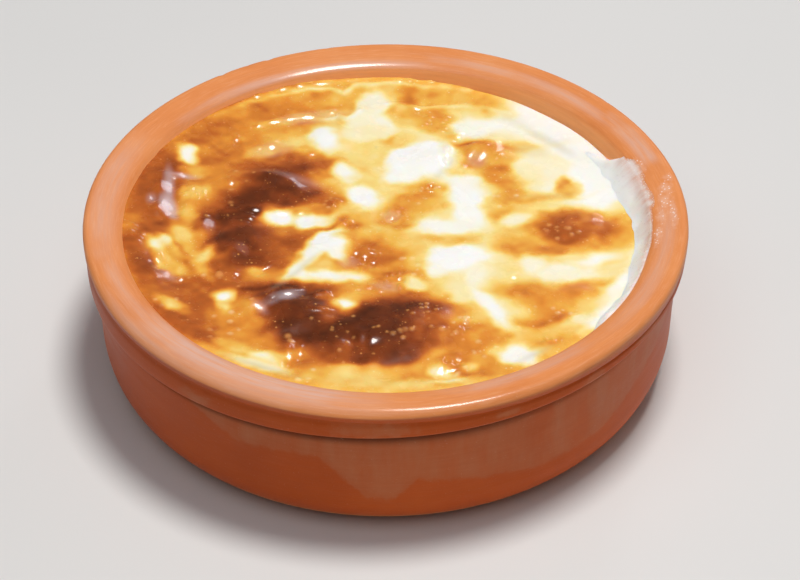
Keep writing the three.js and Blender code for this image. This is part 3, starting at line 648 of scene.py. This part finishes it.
def dish_outline():
    """Half section of the dish from the edge of the base, over the rim, to the floor's edge."""
    groove = LIP_FOOT - GROOVE_HEIGHT / 2
    bead = BEAD_ROUNDING / 2
    bevel = DISH_HEIGHT - BEVEL_DROP
    edge = RIM_EDGE_ROUNDING
    shown = [
        (BASE_RADIUS - 8, 0),
        *arc(BASE_RADIUS, FOOT_HEIGHT, WALL_RADIUS - BASE_RADIUS, FOOT_HEIGHT, -90, 0),
        (WALL_RADIUS, COLLAR_FOOT - COVE_HEIGHT),
        (WALL_RADIUS - 0.1, COLLAR_FOOT - 0.7 * COVE_HEIGHT),
        (UNDERCUT_RADIUS + 0.1, COLLAR_FOOT - 0.4 * COVE_HEIGHT),
        (UNDERCUT_RADIUS, COLLAR_FOOT - UNDERCUT_DROP),
        (UNDERCUT_RADIUS + 0.15, COLLAR_FOOT - 0.5 * UNDERCUT_DROP),
        (BEAD_RADIUS - BEAD_ROUNDING, COLLAR_FOOT - 0.2 * UNDERCUT_DROP),
        *arc(BEAD_RADIUS - bead, COLLAR_FOOT + bead, bead, bead, -75, 0, 4),
        (BEAD_RADIUS + 0.05, COLLAR_FOOT + BEAD_ROUNDING),
        (BEAD_RADIUS, groove - 0.5 * GROOVE_HEIGHT),
        (BEAD_RADIUS - 0.15, groove - 0.3 * GROOVE_HEIGHT),
        (GROOVE_RADIUS, groove - 0.1 * GROOVE_HEIGHT),
        (GROOVE_RADIUS, groove + 0.1 * GROOVE_HEIGHT),
        (DISH_RADIUS - 0.2, groove + 0.3 * GROOVE_HEIGHT),
        (DISH_RADIUS, LIP_FOOT),
        *arc(DISH_RADIUS - edge, DISH_HEIGHT - edge, edge, edge, 0, RIM_EDGE_DEGREES),
        (RIM_CREST_RADIUS, DISH_HEIGHT),
        ((RIM_CREST_RADIUS + BEVEL_RADIUS) / 2, DISH_HEIGHT - RIM_MIDDLE_DROP),
        (BEVEL_RADIUS + 0.25, bevel + 0.08),
        (BEVEL_RADIUS - 0.15, bevel - 0.08),
        (LIP_RADIUS + 0.25, INNER_LIP + 0.14),
        (LIP_RADIUS - 0.05, INNER_LIP - 0.25),
        (INNER_RADIUS + 0.1, INNER_LIP - LIP_WALL_HEIGHT),
        (INNER_RADIUS, INNER_LIP - LIP_WALL_HEIGHT - 0.4),
        (INNER_RADIUS, DISH_HIDDEN_BELOW),
    ]
    hidden = [
        (INNER_RADIUS, DISH_HIDDEN_BELOW - 1),
        *arc(INNER_RADIUS - FLOOR_CORNER, SKIRT_HEIGHT, FLOOR_CORNER, FLOOR_CORNER, 0, -90),
    ]
    shown = resampled(rounded(shown, 2), DISH_STEP)
    outline = np.concatenate([shown, resampled(np.asarray(hidden), DISH_HIDDEN_STEP)])
    return outline, lengths_along(outline)


def outline_normals(outline):
    slope = np.gradient(outline, axis=0)
    normal = np.stack([slope[:, 1], -slope[:, 0]], axis=1)
    return normal / np.linalg.norm(normal, axis=1)[:, None]


def tilt_share(height):
    """How much of the collar's tilt a height takes: all at the collar's foot, none at rim and foot."""
    from_foot = (height - FOOT_HEIGHT) / (COLLAR_FOOT - FOOT_HEIGHT)
    from_rim = (LIP_FOOT - height) / (LIP_FOOT - COLLAR_FOOT)
    return np.clip(np.minimum(from_foot, from_rim), 0, 1)


def rim_sag(angle, radius, height):
    """How far the rim's outer edge hangs below an even rim."""
    share = np.interp(from_angle(angle, 0), *np.transpose(RIM_SAG_SHARES))
    across = np.clip((radius - RIM_SAG_START) / (DISH_RADIUS - RIM_SAG_START), 0, 1)
    return RIM_SAG * share * across * smoothstep(LIP_FOOT, DISH_HEIGHT, height)


def clay_push(angle, run, height):
    """How far the clay stands out from its outline: throwing lines and slow waves of the hand."""
    lines = layered(round_points(angle, LAY_RADIUS, run), THROWING_LINES)
    waves = layered(round_points(angle, WAVE_RADIUS, run), HAND_WAVES)
    return (lines + waves) * smoothstep(0, 3, height)


def chip_depth(angle, radius, height):
    depth = np.zeros(len(angle))
    for chip_angle, chip_height, size, deep in CHIPS:
        along = np.radians(from_angle(angle, chip_angle)) * DISH_RADIUS
        depth += deep * bell(np.hypot(along, height - chip_height), size) * (radius > RIM_CREST_RADIUS)
    return depth


def patch_depth(angle, place, patches):
    """How deep points are in the nearest patch: 1 at its middle, 0 on its edge and less outside."""
    depths = []
    for patch_angle, middle, half_angle, half_width in patches:
        around = from_angle(angle, patch_angle) / half_angle
        depths.append(1 - np.hypot(around, (place - middle) / half_width))
    return np.max(depths, axis=0)


def clay_bloom(angle, radius, height):
    """Pale bloom: a field that is positive inside its sharp-edged patches."""
    edge = np.interp(from_angle(angle, 0), *np.transpose(WALL_BLOOM_EDGE), left=BLOOM_ENDS_EDGE,
                     right=BLOOM_ENDS_EDGE)
    on_wall = (height < COLLAR_FOOT) & (radius >= WALL_RADIUS - 2)
    bloom = np.where(on_wall, height - edge, NO_BLOOM)
    on_bead = (height > COLLAR_FOOT) & (height < LIP_FOOT)
    return np.where(on_bead, np.maximum(bloom, 1.5 * patch_depth(angle, height, BEAD_BLOOMS)), bloom)


def rim_haze_and_light(angle, radius, height):
    """Soft pale bloom on the rim, its ends torn; two of its patches are painted light."""
    haze_and_light = np.zeros(len(angle))
    torn = layered(round_points(angle, radius, np.zeros(len(angle))), HAZE_TEARS)
    for patch_angle, half_angle, middle, half_width, strength in RIM_BLOOMS_AND_LIGHT:
        ends = smoothstep(1.3, 0.5, np.abs(from_angle(angle, patch_angle) + torn) / half_angle)
        across = smoothstep(1.5, 0.2, np.abs(radius - middle) / half_width)
        haze_and_light = np.maximum(haze_and_light, strength * ends * across)
    return haze_and_light * smoothstep(DISH_HEIGHT - 3, DISH_HEIGHT - 2, height)


def arc_share(angle, middle, full, none):
    """1 within the full angle of a direction, falling to 0 at the second one, in degrees."""
    return smoothstep(none, full, np.abs(from_angle(angle, middle)))


def clay_fields(angle, radius, height, run, outside):
    """What the clay's material reads at each point."""
    # Painted shade: the shoulder and outer wall take the darker copy of the clay, more so towards the foot.
    deep = smoothstep(DISH_HEIGHT - 0.3, LIP_FOOT, height) * (radius > RIM_CREST_RADIUS - 2)
    deep += FOOT_PAINTED_SHADE * smoothstep(COLLAR_FOOT - 4, 0, height) * outside
    # Painted shade: a dark line under the collar towards the front, and the left of the wall darker.
    undercut = bell(height - COLLAR_FOOT + UNDERCUT_DROP, UNDERCUT_SHADE_HEIGHT) * (radius < BEAD_RADIUS - 0.6)
    undercut *= outside * arc_share(angle, *UNDERCUT_SHADE_ARC)
    shade = smoothstep(*SHADE_ANGLES, from_angle(angle, 0)) * smoothstep(DISH_HEIGHT - 1, LIP_FOOT, height)
    back_polish = bell(radius - (BEVEL_RADIUS + LIP_RADIUS) / 2, 1.1) * ~outside
    front_polish = bell(radius - DISH_RADIUS + 0.8, 0.8) * (height > LIP_FOOT)
    return {
        "lay": round_points(angle, LAY_RADIUS, run),
        "bloom": clay_bloom(angle, radius, height),
        "haze_and_light": rim_haze_and_light(angle, radius, height),
        "deep": deep,
        "painted_shade": np.maximum(undercut, SHADE_SHARE * shade * outside),
        # Painted light: the inner wall below the lip is lightened.
        "inside": smoothstep(INNER_LIP + 0.2, INNER_LIP - 0.6, height) * ~outside,
        "polish": back_polish * arc_share(angle, *BACK_POLISH_ARC)
        + front_polish * arc_share(angle, *FRONT_POLISH_ARC),
        "dust": np.maximum(0, patch_depth(angle, radius, DUSTS)) * (height > INNER_LIP),
    }


def make_dish():
    outline, along = dish_outline()
    rows = len(outline)
    column = np.arange(DISH_COLUMNS)
    angle = np.tile(np.linspace(0, 2 * math.pi, DISH_COLUMNS, endpoint=False), rows)
    radius, height = np.repeat(outline, DISH_COLUMNS, axis=0).T
    run = np.repeat(along, DISH_COLUMNS)
    normal = np.repeat(outline_normals(outline), DISH_COLUMNS, axis=0)
    outside = run < along[np.argmax(outline[:, 1])]
    push = clay_push(angle, run, height) - chip_depth(angle, radius, height)
    tilt = COLLAR_TILT * tilt_share(height) * np.cos(angle) * outside
    pushed_height = height + push * normal[:, 1] + tilt - rim_sag(angle, radius, height)
    points = round_points(angle, radius + push * normal[:, 0], pushed_height)
    faces = grid_quads(rows, DISH_COLUMNS, closed=True).tolist()
    faces.append(column[::-1].tolist())
    faces.append(((rows - 1) * DISH_COLUMNS + column).tolist())
    fields = clay_fields(angle, radius, height, run, outside)
    piece = mesh_piece("terracotta_dish", points, faces, terracotta_material(), fields)
    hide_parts("dish")


def terracotta_material():
    """Dry unglazed clay, burnished at the rim: throwing lines, grit, and a pale dusty bloom."""
    clay = Shading("terracotta")
    lay = clay.read("lay", "Vector")
    deep = clay.read("deep")
    lines = clay.noise(1.3, 4, vector=lay)
    clouds = clay.noise(55)
    grit = clay.noise(2600, 2, 0.7)
    upright = clay.node("ShaderNodeVectorMath", {0: clay.place, 1: DRIP_STRETCH}, operation="MULTIPLY")
    drips = clay.noise(210, vector=upright.outputs[0])
    # Painted shade: the outer wall and shoulder get the darker copy of the clay.
    colour = clay.mix(deep, clay.ramp(clouds, RIM_CLAY), clay.ramp(clouds, SHADED_WALL_CLAY))

    # Bloom with a ragged edge, drips in it and a tide line round it; then the rim's soft pale bloom, two
    # patches of which are painted light.
    edge = clay.uneven(clay.noise(420), 3, clay.read("bloom"))
    dusty = clay.times(clay.remap(edge, -1, 2, 0, 1), clay.remap(drips, 0.3, 0.7, 0.25, 0.8))
    tide = clay.times(clay.remap(edge, -0.5, 0.4, 0, 0.2), clay.remap(edge, 0.4, 1.8, 1, 0))
    colour = clay.mix(clay.calc("ADD", dusty, tide), colour, BLOOM_COLOUR)
    hazy_and_lit = clay.times(clay.read("haze_and_light"), clay.remap(lines, 0.3, 0.6, 0.35, 1))
    colour = clay.mix(hazy_and_lit, colour, HAZE_AND_LIGHT_COLOUR)

    # The inner wall lightened as painted light, throwing lines, fine pale combing on the rim, painted shade
    # under the collar and on the left of the wall, and grit.
    colour = clay.mix(clay.read("inside"), colour, INNER_WALL_LIGHT_COLOUR)
    colour = clay.mix(clay.remap(lines, 0.4, 0.8, 0, 0.16), colour, LINE_COLOUR)
    calm = clay.remap(deep, 0, 1, 1, 0.15)
    comb = clay.remap(clay.noise(3.6, 2, vector=lay), 0.5, 0.8, 0, 0.3)
    colour = clay.mix(clay.times(comb, calm), colour, COMB_COLOUR)
    colour = clay.mix(clay.times(clay.read("painted_shade"), 0.9), colour, PAINTED_SHADE_COLOUR)
    colour = clay.mix(clay.remap(grit, 0.66, 0.76, 0, 0.2), colour, GRIT_COLOUR)

    # Dust of dried milk, in flecks and as a thin veil.
    patchy = clay.calc("MULTIPLY_ADD", clay.noise(620), 1.2, clay.read("dust"))
    flecks = clay.times(clay.dots(1400, 0.32), clay.remap(patchy, 1, 1.2, 0, 0.9))
    milky = clay.calc("MAXIMUM", flecks, clay.remap(patchy, 0.9, 1.5, 0, 0.22))
    relief = clay.calc("MULTIPLY_ADD", clay.times(lines, calm), 0.4, grit)
    return clay.finish({
        "Base Color": clay.mix(milky, colour, DUST_COLOUR),
        "Roughness": clay.remap(clouds, 0.3, 0.7, 0.36, 0.46),
        "Specular IOR Level": 0.1,
        "Coat Weight": clay.times(clay.read("polish"), 0.7),
        "Coat Roughness": 0.16,
        "Normal": clay.bump(relief, 0.00006, 0.5),
    })


# Pudding
def swell_heights(x, y):
    total = np.zeros(len(x))
    for *ellipse, height in SWELLS:
        total += height * np.maximum(0, 1 - ellipse_distance(x, y, *ellipse) ** 2) ** 2
    return total


def line_place(line, x, y):
    """Distance to a line of points, positive on its left, and the share along it."""
    nearest = np.full(len(x), np.inf)
    side = np.zeros(len(x))
    along = np.zeros(len(x))
    for index, ((start_x, start_y), (end_x, end_y)) in enumerate(zip(line, line[1:])):
        run_x = end_x - start_x
        run_y = end_y - start_y
        share = np.clip(((x - start_x) * run_x + (y - start_y) * run_y) / math.hypot(run_x, run_y) ** 2, 0, 1)
        distance = np.hypot(x - start_x - share * run_x, y - start_y - share * run_y)
        turned = np.sign(run_x * (y - start_y) - run_y * (x - start_x))
        closer = distance < nearest
        nearest = np.where(closer, distance, nearest)
        side = np.where(closer, turned * distance, side)
        along = np.where(closer, (index + share) / (len(line) - 1), along)
    return side, along


def fold_heights(x, y):
    """Heights of all folds, and the painted shading along their lines: shade in creases, highlight on ridges.
    """
    heights = np.zeros(len(x))
    fold_shading = np.zeros(len(x))
    for line, height, width, front, line_shading in FOLDS:
        side, along = line_place(line, x, y)
        left = 1 / (1 + np.exp(-np.clip(side / FOLD_EDGE, -40, 40)))
        fade = np.sqrt(np.sin(math.pi * np.clip(along, FOLD_END_FADE, 1 - FOLD_END_FADE)))
        heights += height * bell(side, width) * fade * (front + (1 - front) * left)
        fold_shading += line_shading * fade * bell(side + FOLD_SHADING_WIDTH / 2, FOLD_SHADING_WIDTH)
    return heights, fold_shading


def facet_slopes(facets, light):
    """How much each small face leans more than the skin under it, to mirror a light to the camera."""
    x, y = np.transpose([facet[:2] for facet in facets])
    east = smooth_heights(x + SLOPE_REACH, y)[0] - smooth_heights(x - SLOPE_REACH, y)[0]
    north = smooth_heights(x, y + SLOPE_REACH)[0] - smooth_heights(x, y - SLOPE_REACH)[0]
    places = np.stack([x, y + PLAN_SLANT * x, np.full(len(x), PUDDING_LEVEL)], axis=1)
    halfway = np.zeros((len(x), 3))
    for target in (np.array(camera_place()), np.array(light) / MM):
        towards = target - places
        halfway += towards / np.linalg.norm(towards, axis=1)[:, None]
    lean_x, lean_y = -halfway[:, :2].T / halfway[:, 2]
    return lean_x - east / (2 * SLOPE_REACH), lean_y - north / (2 * SLOPE_REACH)


def facet_heights(x, y):
    """Heights of the small faces, and how far each point is from being part of one."""
    total = np.zeros(len(x))
    outside = np.ones(len(x))
    for facets, light in ((SHEENS, WINDOW_PLACE), (FACETS, KEY_PLACE)):
        for (*ellipse, lean), slope_x, slope_y in zip(facets, *facet_slopes(facets, light)):
            rise = slope_x * (x - ellipse[0]) + slope_y * (y - ellipse[1])
            power = 4 if min(ellipse[2:4]) > BROAD_FACET else 2
            spread = np.exp(-(ellipse_distance(x, y, *ellipse) / FACET_SIZE) ** power)
            total += spread * (lean * rise - total)
            outside *= 1 - FACET_SMOOTHING * spread
    return total, outside


def paint(tone, x, y, patches, blend):
    """Lays soft-edged patches of tone over what is there."""
    for *ellipse, patch_tone in patches:
        past_edge = (ellipse_distance(x, y, *ellipse) - 1) * min(ellipse[2], ellipse[3])
        tone += (patch_tone - tone) * smoothstep(blend, -blend, past_edge)


def skin_tone(x, y, fold_shading):
    """Browning of the skin at each point, its patches made ragged by bending the plane, with the painted
    shading of the folds added.
    """
    flat = flat_points(x, y)
    bent_x, bent_y = bent(x, y, TONE_BENDS)
    tone = np.full(len(x), BASE_TONE)
    paint(tone, bent_x, bent_y, GROUNDS, GROUND_BLEND)
    tone += layered(flat, GROUND_MOTTLE)
    for patches, blend in ((BROWNS, BROWN_BLEND), (SCORCHES, SCORCH_BLEND), (ISLANDS, ISLAND_BLEND)):
        paint(tone, bent_x, bent_y, patches, blend)
    golden = smoothstep(0.1, 0.3, tone) * smoothstep(0.75, 0.5, tone)
    tone += golden * layered(flat, GOLD_MOTTLE)
    browned = smoothstep(0.15, 0.5, tone)
    tone += browned * (layered(flat @ FLOW_TURN, FLOW_TONES) + layered(flat, BROWN_MOTTLE))
    tone += layered(flat, SKIN_MOTTLE)
    # Painted shade in the creases and painted highlight on the ridges of the folds.
    return np.clip(tone + fold_shading, 0, 1)


def wrinkle_heights(x, y):
    where = np.zeros(len(x))
    for centre_x, centre_y, radius in WRINKLES:
        distance = np.hypot(x - centre_x, y - centre_y)
        where = np.maximum(where, smoothstep(radius, 0.4 * radius, distance))
    ridges = 1 - np.abs(noise(flat_points(x, WRINKLE_STRETCH * y), WRINKLE_SIZE, WRINKLE_SEED)) * 2
    return WRINKLE_HEIGHT * where * ridges


def bubble_marks(x, y):
    """Heights of the small bubbles, and how much paler the skin is on them."""
    draw = np.random.default_rng(BUBBLE_SEED)
    heights = np.zeros(len(x))
    pales = np.zeros(len(x))
    for centre_x, centre_y, spread, count, largest in BUBBLES:
        for _ in range(count):
            bubble_x, bubble_y = draw.normal((centre_x, centre_y), spread)
            radius = largest * draw.uniform(0.4, 1)
            strength = draw.uniform(0.5, 1)
            distance = np.hypot(x - bubble_x, y - bubble_y) / radius
            heights = np.maximum(heights, BUBBLE_HEIGHT * radius * np.maximum(0, 1 - distance ** 2))
            pales = np.maximum(pales, strength * smoothstep(1.2, 0.3, distance))
    return heights, pales


def smooth_heights(x, y):
    """Height of the skin without its finest relief, and the painted shading along its folds."""
    radius = np.hypot(x, y + PLAN_SLANT * x)
    cling = smoothstep(INNER_RADIUS - CLING_WIDTH, INNER_RADIUS, radius)
    sag = CENTRE_SAG * (1 - (radius / INNER_RADIUS) ** 2)
    bent_x, bent_y = bent(x, y, FOLD_BENDS)
    folds, fold_shading = fold_heights(bent_x, bent_y)
    height = PUDDING_LEVEL - LEVEL_TILT * x / INNER_RADIUS + WALL_CLING * cling - sag
    height += (1 - cling) * swell_heights(bent_x, bent_y)
    height += (1 - (1 - FOLD_LEFT_AT_WALL) * cling) * folds
    height += layered(flat_points(x, y), SKIN_WAVES)
    return height, fold_shading


def skin_heights(x, y):
    """Height of the skin at each place of the plan, with the painted shading of its folds and its bubbles."""
    flat = flat_points(x, y)
    height, fold_shading = smooth_heights(x, y)
    bubbles, pales = bubble_marks(x, y)
    facets, outside = facet_heights(x, y)
    browned = smoothstep(0.45, 0.7, skin_tone(x, y, fold_shading))
    fine = browned * (layered(flat @ FLOW_TURN, FLOW_RIDGES) + layered(flat, BROWN_RELIEF))
    fine += layered(flat, SKIN_RELIEF) + wrinkle_heights(x, y)
    height += outside * fine + facets + bubbles
    return height, fold_shading, pales


def disc_points(radius, rings):
    """Points of a disc on rings, with six more points on each ring than on the one inside it."""
    points = [np.zeros((1, 3))]
    for ring in range(1, rings + 1):
        angle = np.linspace(0, 2 * math.pi, 6 * ring, endpoint=False)
        points.append(round_points(angle, radius * ring / rings, np.zeros(6 * ring)))
    return np.concatenate(points)


def disc_faces(rings):
    faces = []
    inner_start = 0
    outer_start = 1
    for ring in range(1, rings + 1):
        index = np.arange(6 * ring)
        sector, step = np.divmod(index, ring)
        outer = outer_start + index
        outer_next = outer_start + (index + 1) % (6 * ring)
        inner_index = sector * (ring - 1) + step
        inner_count = max(1, 6 * (ring - 1))
        inner = inner_start + inner_index % inner_count
        inner_next = inner_start + (inner_index + 1) % inner_count
        faces.extend(np.stack([inner, outer, outer_next], axis=1).tolist())
        faces.extend(np.stack([inner, outer_next, inner_next], axis=1)[step < ring - 1].tolist())
        inner_start = outer_start
        outer_start += 6 * ring
    return faces


def make_pudding():
    points = disc_points(INNER_RADIUS + SKIN_OVERLAP, SKIN_RINGS)
    x = points[:, 0]
    plan_y = points[:, 1] - PLAN_SLANT * x
    points[:, 2], fold_shading, pales = skin_heights(x, plan_y)
    faces = disc_faces(SKIN_RINGS)

    # Below the skin the side goes straight down to a plain underside.
    count = 6 * SKIN_RINGS
    rim = len(points) - count + np.arange(count)
    bottom = rim + count
    under = points[rim]
    under[:, 2] = SKIRT_HEIGHT
    faces.extend(np.stack([bottom, np.roll(bottom, -1), np.roll(rim, -1), rim], axis=1).tolist())
    faces.append(bottom[::-1].tolist())

    fields = {"tone": skin_tone(x, plan_y, fold_shading), "pale": pales}
    # Painted shade in the creases and painted sheen, each kept as a field of its own.
    for name, patches in (("crease_shade", CREASE_SHADES), ("painted_sheen", PAINTED_SHEENS)):
        fields[name] = np.zeros(len(x))
        paint(fields[name], x, plan_y, patches, PAINTED_LIGHT_BLEND)
    for name in fields:
        fields[name] = np.append(fields[name], np.full(count, UNDER_TONE if name == "tone" else 0))
    points = np.concatenate([points, under])
    piece = mesh_piece("pudding_skin", points, faces, skin_material(), fields)
    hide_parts("pudding")


def skin_material():
    """Moist baked milk skin, from white through gold to scorched brown."""
    skin = Shading("baked_skin")
    fine = skin.noise(900)
    broad = skin.noise(260, 2)
    tone = skin.read("tone")
    colour = skin.ramp(skin.uneven(fine, skin.remap(tone, 0.1, 0.5, 0, 0.05), tone), SKIN_COLOURS)
    # Painted shade in the creases of the pale skin.
    colour = skin.mix(skin.read("crease_shade"), colour, CREASE_SHADE_COLOUR)
    # Painted lavender sheen, standing in for reflections.
    colour = skin.mix(skin.read("painted_sheen"), colour, PAINTED_SHEEN_COLOUR)

    # Paler dots on browned skin: tiny ones in patches, and the bubbles.
    dots = skin.calc("MAXIMUM", skin.dots(560, 0.16), skin.dots(930, 0.14))
    tiny = skin.times(dots, skin.remap(broad, 0.46, 0.6, 0, 0.7))
    on_brown = skin.times(tiny, skin.remap(tone, 0.25, 0.45, 0, 1))
    bubbles = skin.times(skin.read("pale"), skin.remap(tone, 0.2, 0.5, 0, 0.7))
    dotted = skin.calc("MAXIMUM", on_brown, bubbles)
    return skin.finish({
        "Base Color": skin.mix(dotted, colour, skin.ramp(tone, DOT_COLOURS)),
        "Roughness": skin.calc("MULTIPLY_ADD", broad, 0.1, 0.22),
        "Specular IOR Level": 0.2,
        "Coat Weight": 0.4,
        "Coat Roughness": 0.11,
        "Subsurface Weight": 0.35,
        "Subsurface Radius": (1, 0.55, 0.25),
        "Subsurface Scale": 0.0011,
        "Normal": skin.bump(fine, 0.00006, 0.5),
    })


# Milk film
def film_end(angle):
    return np.interp(from_angle(angle, 0), *np.transpose(sorted(FILM_ENDS)))


def film_over_pudding(angle):
    """The film that follows the skin and fills the corner at the wall: top, underside, milk, froth."""
    over = np.arange(min(radius for _, radius in FILM_STARTS) - 1.5, LIP_RADIUS, FILM_STEP)
    ring = np.repeat(over, FILM_COLUMNS)
    angle = np.tile(angle, len(over))
    x = ring * np.cos(angle)
    y = ring * np.sin(angle)
    flat = flat_points(x, y)
    skin = skin_heights(x, y - PLAN_SLANT * x)[0]
    inner = np.interp(np.degrees(angle), *np.transpose(sorted(FILM_STARTS))) + layered(flat, FILM_START_TEARS)
    spread = np.clip((ring - inner) / (LIP_RADIUS - inner), 0, 1)
    climb = smoothstep(-3.6, -0.2, film_end(angle) + 3 * (1 - spread))
    start = smoothstep(0, 0.3, spread) * smoothstep(0, 0.2, climb)
    lift = climb * (INNER_LIP - skin) * spread ** 2 * (2 - spread) + FILM_RISE * start - FILM_SINK
    lift += start * smoothstep(1, 0.7, spread) * layered(flat, FILM_LUMPS)
    top = np.stack([x, y, skin + lift], axis=1)
    under = np.stack([x, y, skin + np.minimum(lift, 0) - FILM_DEPTH], axis=1)
    milk = 1 - 0.55 * smoothstep(0.35, 1, spread) * smoothstep(0.1, 0.6, climb)
    return top, under, milk, 0.6 * smoothstep(0.5, 1, spread) * climb


def film_on_rim(angle):
    """The thin layer on the lip and the rim, which sinks into the clay where it ends, in the same way."""
    outline, along = dish_outline()
    radius, height = outline.T
    on_rim = (radius > LIP_RADIUS + 0.1) & (radius < FILM_RIM_RADIUS) & (height > INNER_LIP - 0.1)
    order = np.flatnonzero(on_rim)[::-1]
    radius, height = np.repeat(outline[order], FILM_COLUMNS, axis=0).T
    normal = np.repeat(outline_normals(outline)[order], FILM_COLUMNS, axis=0)
    run = np.repeat(along[order], FILM_COLUMNS)
    angle = np.tile(angle, len(order))
    tears = layered(round_points(angle, radius, np.zeros(len(angle))), FILM_END_TEARS)
    cover = film_end(angle) - (run[0] - run) + tears
    push = clay_push(angle, run, height)
    lift = FILM_RISE * smoothstep(-0.3, 0.5, cover)
    layers = []
    for offset in (push + lift - FILM_SINK, push - FILM_SINK - FILM_DEPTH):
        layers.append(round_points(angle, radius + offset * normal[:, 0], height + offset * normal[:, 1]))
    return *layers, 0.5 * smoothstep(-0.4, 1.4, cover), smoothstep(3, 0.6, cover)


def make_film():
    angle = np.radians(np.linspace(FILM_ENDS[-1][0], FILM_ENDS[0][0], FILM_COLUMNS))
    stretches = zip(film_over_pudding(angle), film_on_rim(angle))
    top, under, milk, froth = [np.concatenate(pair) for pair in stretches]
    count = len(top)
    rows = count // FILM_COLUMNS
    quads = grid_quads(rows, FILM_COLUMNS, closed=False)
    faces = quads[:, [0, 3, 2, 1]].tolist() + (quads[:, [1, 2, 3, 0]] + count).tolist()
    column = np.arange(FILM_COLUMNS - 1)
    last_column = FILM_COLUMNS - 1
    last_row = (rows - 1) * FILM_COLUMNS
    row_edge = np.arange(rows - 1) * FILM_COLUMNS
    borders = [
        (column, column + 1),
        (last_row + column + 1, last_row + column),
        (row_edge + FILM_COLUMNS, row_edge),
        (row_edge + last_column, row_edge + last_column + FILM_COLUMNS),
    ]
    for first, second in borders:
        faces.extend(np.stack([first, second, second + count, first + count], axis=1).tolist())
    climbed = np.repeat(np.arange(rows) * FILM_STEP, FILM_COLUMNS)
    streak = flat_points(STREAKS_ROUND * np.degrees(np.tile(angle, rows)), STREAKS_UP * climbed)
    fields = {"milk": np.tile(milk, 2), "froth": np.tile(froth, 2), "streak": np.tile(streak, (2, 1))}
    mesh_piece("milk_film", np.concatenate([top, under]), faces, film_material(), fields)


def film_material():
    """Thin dried milk: white where it is thick, the clay showing through its streaks where it is thin."""
    film = Shading("milk_film")
    streaks = film.noise(1.1, 5, vector=film.read("streak", "Vector"))
    milk = film.uneven(streaks, 0.7, film.read("milk"))
    froth = film.times(film.times(film.dots(2000, 0.34), film.read("froth")), 0.6)
    return film.finish({
        "Base Color": film.mix(froth, film.ramp(milk, FILM_COLOURS), FROTH_COLOUR),
        "Roughness": film.remap(film.noise(1500, 2), 0.3, 0.7, 0.25, 0.4),
        "Specular IOR Level": 0.4,
        "Subsurface Weight": 0.6,
        "Subsurface Radius": (1, 0.7, 0.5),
        "Subsurface Scale": 0.0014,
        "Normal": film.bump(film.calc("ADD", streaks, froth), 0.0001, 0.2),
    })


# Stage
def add_floor():
    bpy.ops.mesh.primitive_grid_add(x_subdivisions=2, y_subdivisions=2, size=FLOOR_SIZE)
    floor = bpy.context.object
    floor.name = "floor"
    shade = Shading("floor")
    colour = shade.ramp(shade.noise(3), FLOOR_COLOURS)
    material = shade.finish({"Base Color": colour, "Roughness": 0.85, "Specular IOR Level": 0.2})
    floor.data.materials.append(material)


def add_light(name, place, size, power, colour):
    light = bpy.data.lights.new(name, "AREA")
    light.shape = "DISK"
    light.size = size
    light.energy = power
    light.color = colour
    holder = linked_object(name, light)
    holder.location = place
    holder.rotation_euler = (-Vector(place)).to_track_quat("-Z", "Y").to_euler()


def add_world():
    world = bpy.data.worlds.new("studio")
    world.use_nodes = True
    background = world.node_tree.nodes["Background"]
    background.inputs["Color"].default_value = WORLD_COLOUR
    background.inputs["Strength"].default_value = WORLD_STRENGTH
    bpy.context.scene.world = world
    bpy.context.scene.view_settings.view_transform = "Standard"


def camera_place():
    """Where the camera stands, in millimetres."""
    back = Vector((0, -math.cos(CAMERA_ELEVATION), math.sin(CAMERA_ELEVATION)))
    up = Vector((0, math.sin(CAMERA_ELEVATION), math.cos(CAMERA_ELEVATION)))
    right = Vector((1, 0, 0))
    per_pixel = CAMERA_DEPTH / FOCAL_PIXELS
    place = Vector((0, 0, DISH_HEIGHT)) + back * CAMERA_DEPTH
    return place - right * RIM_CENTRE_PIXELS[0] * per_pixel - up * RIM_CENTRE_PIXELS[1] * per_pixel


def add_camera():
    camera = bpy.data.cameras.new("camera")
    camera.sensor_width = SENSOR_WIDTH
    camera.lens = SENSOR_WIDTH * FOCAL_PIXELS / PHOTO_WIDTH
    camera.clip_start = CLIP_START
    holder = linked_object("camera", camera)
    holder.location = camera_place() * MM
    holder.rotation_euler = (math.pi / 2 - CAMERA_ELEVATION, 0, 0)
    bpy.context.scene.camera = holder


add_camera()
add_floor()
for light in LIGHTS:
    add_light(*light)
add_world()
make_dish()
make_pudding()
make_film()
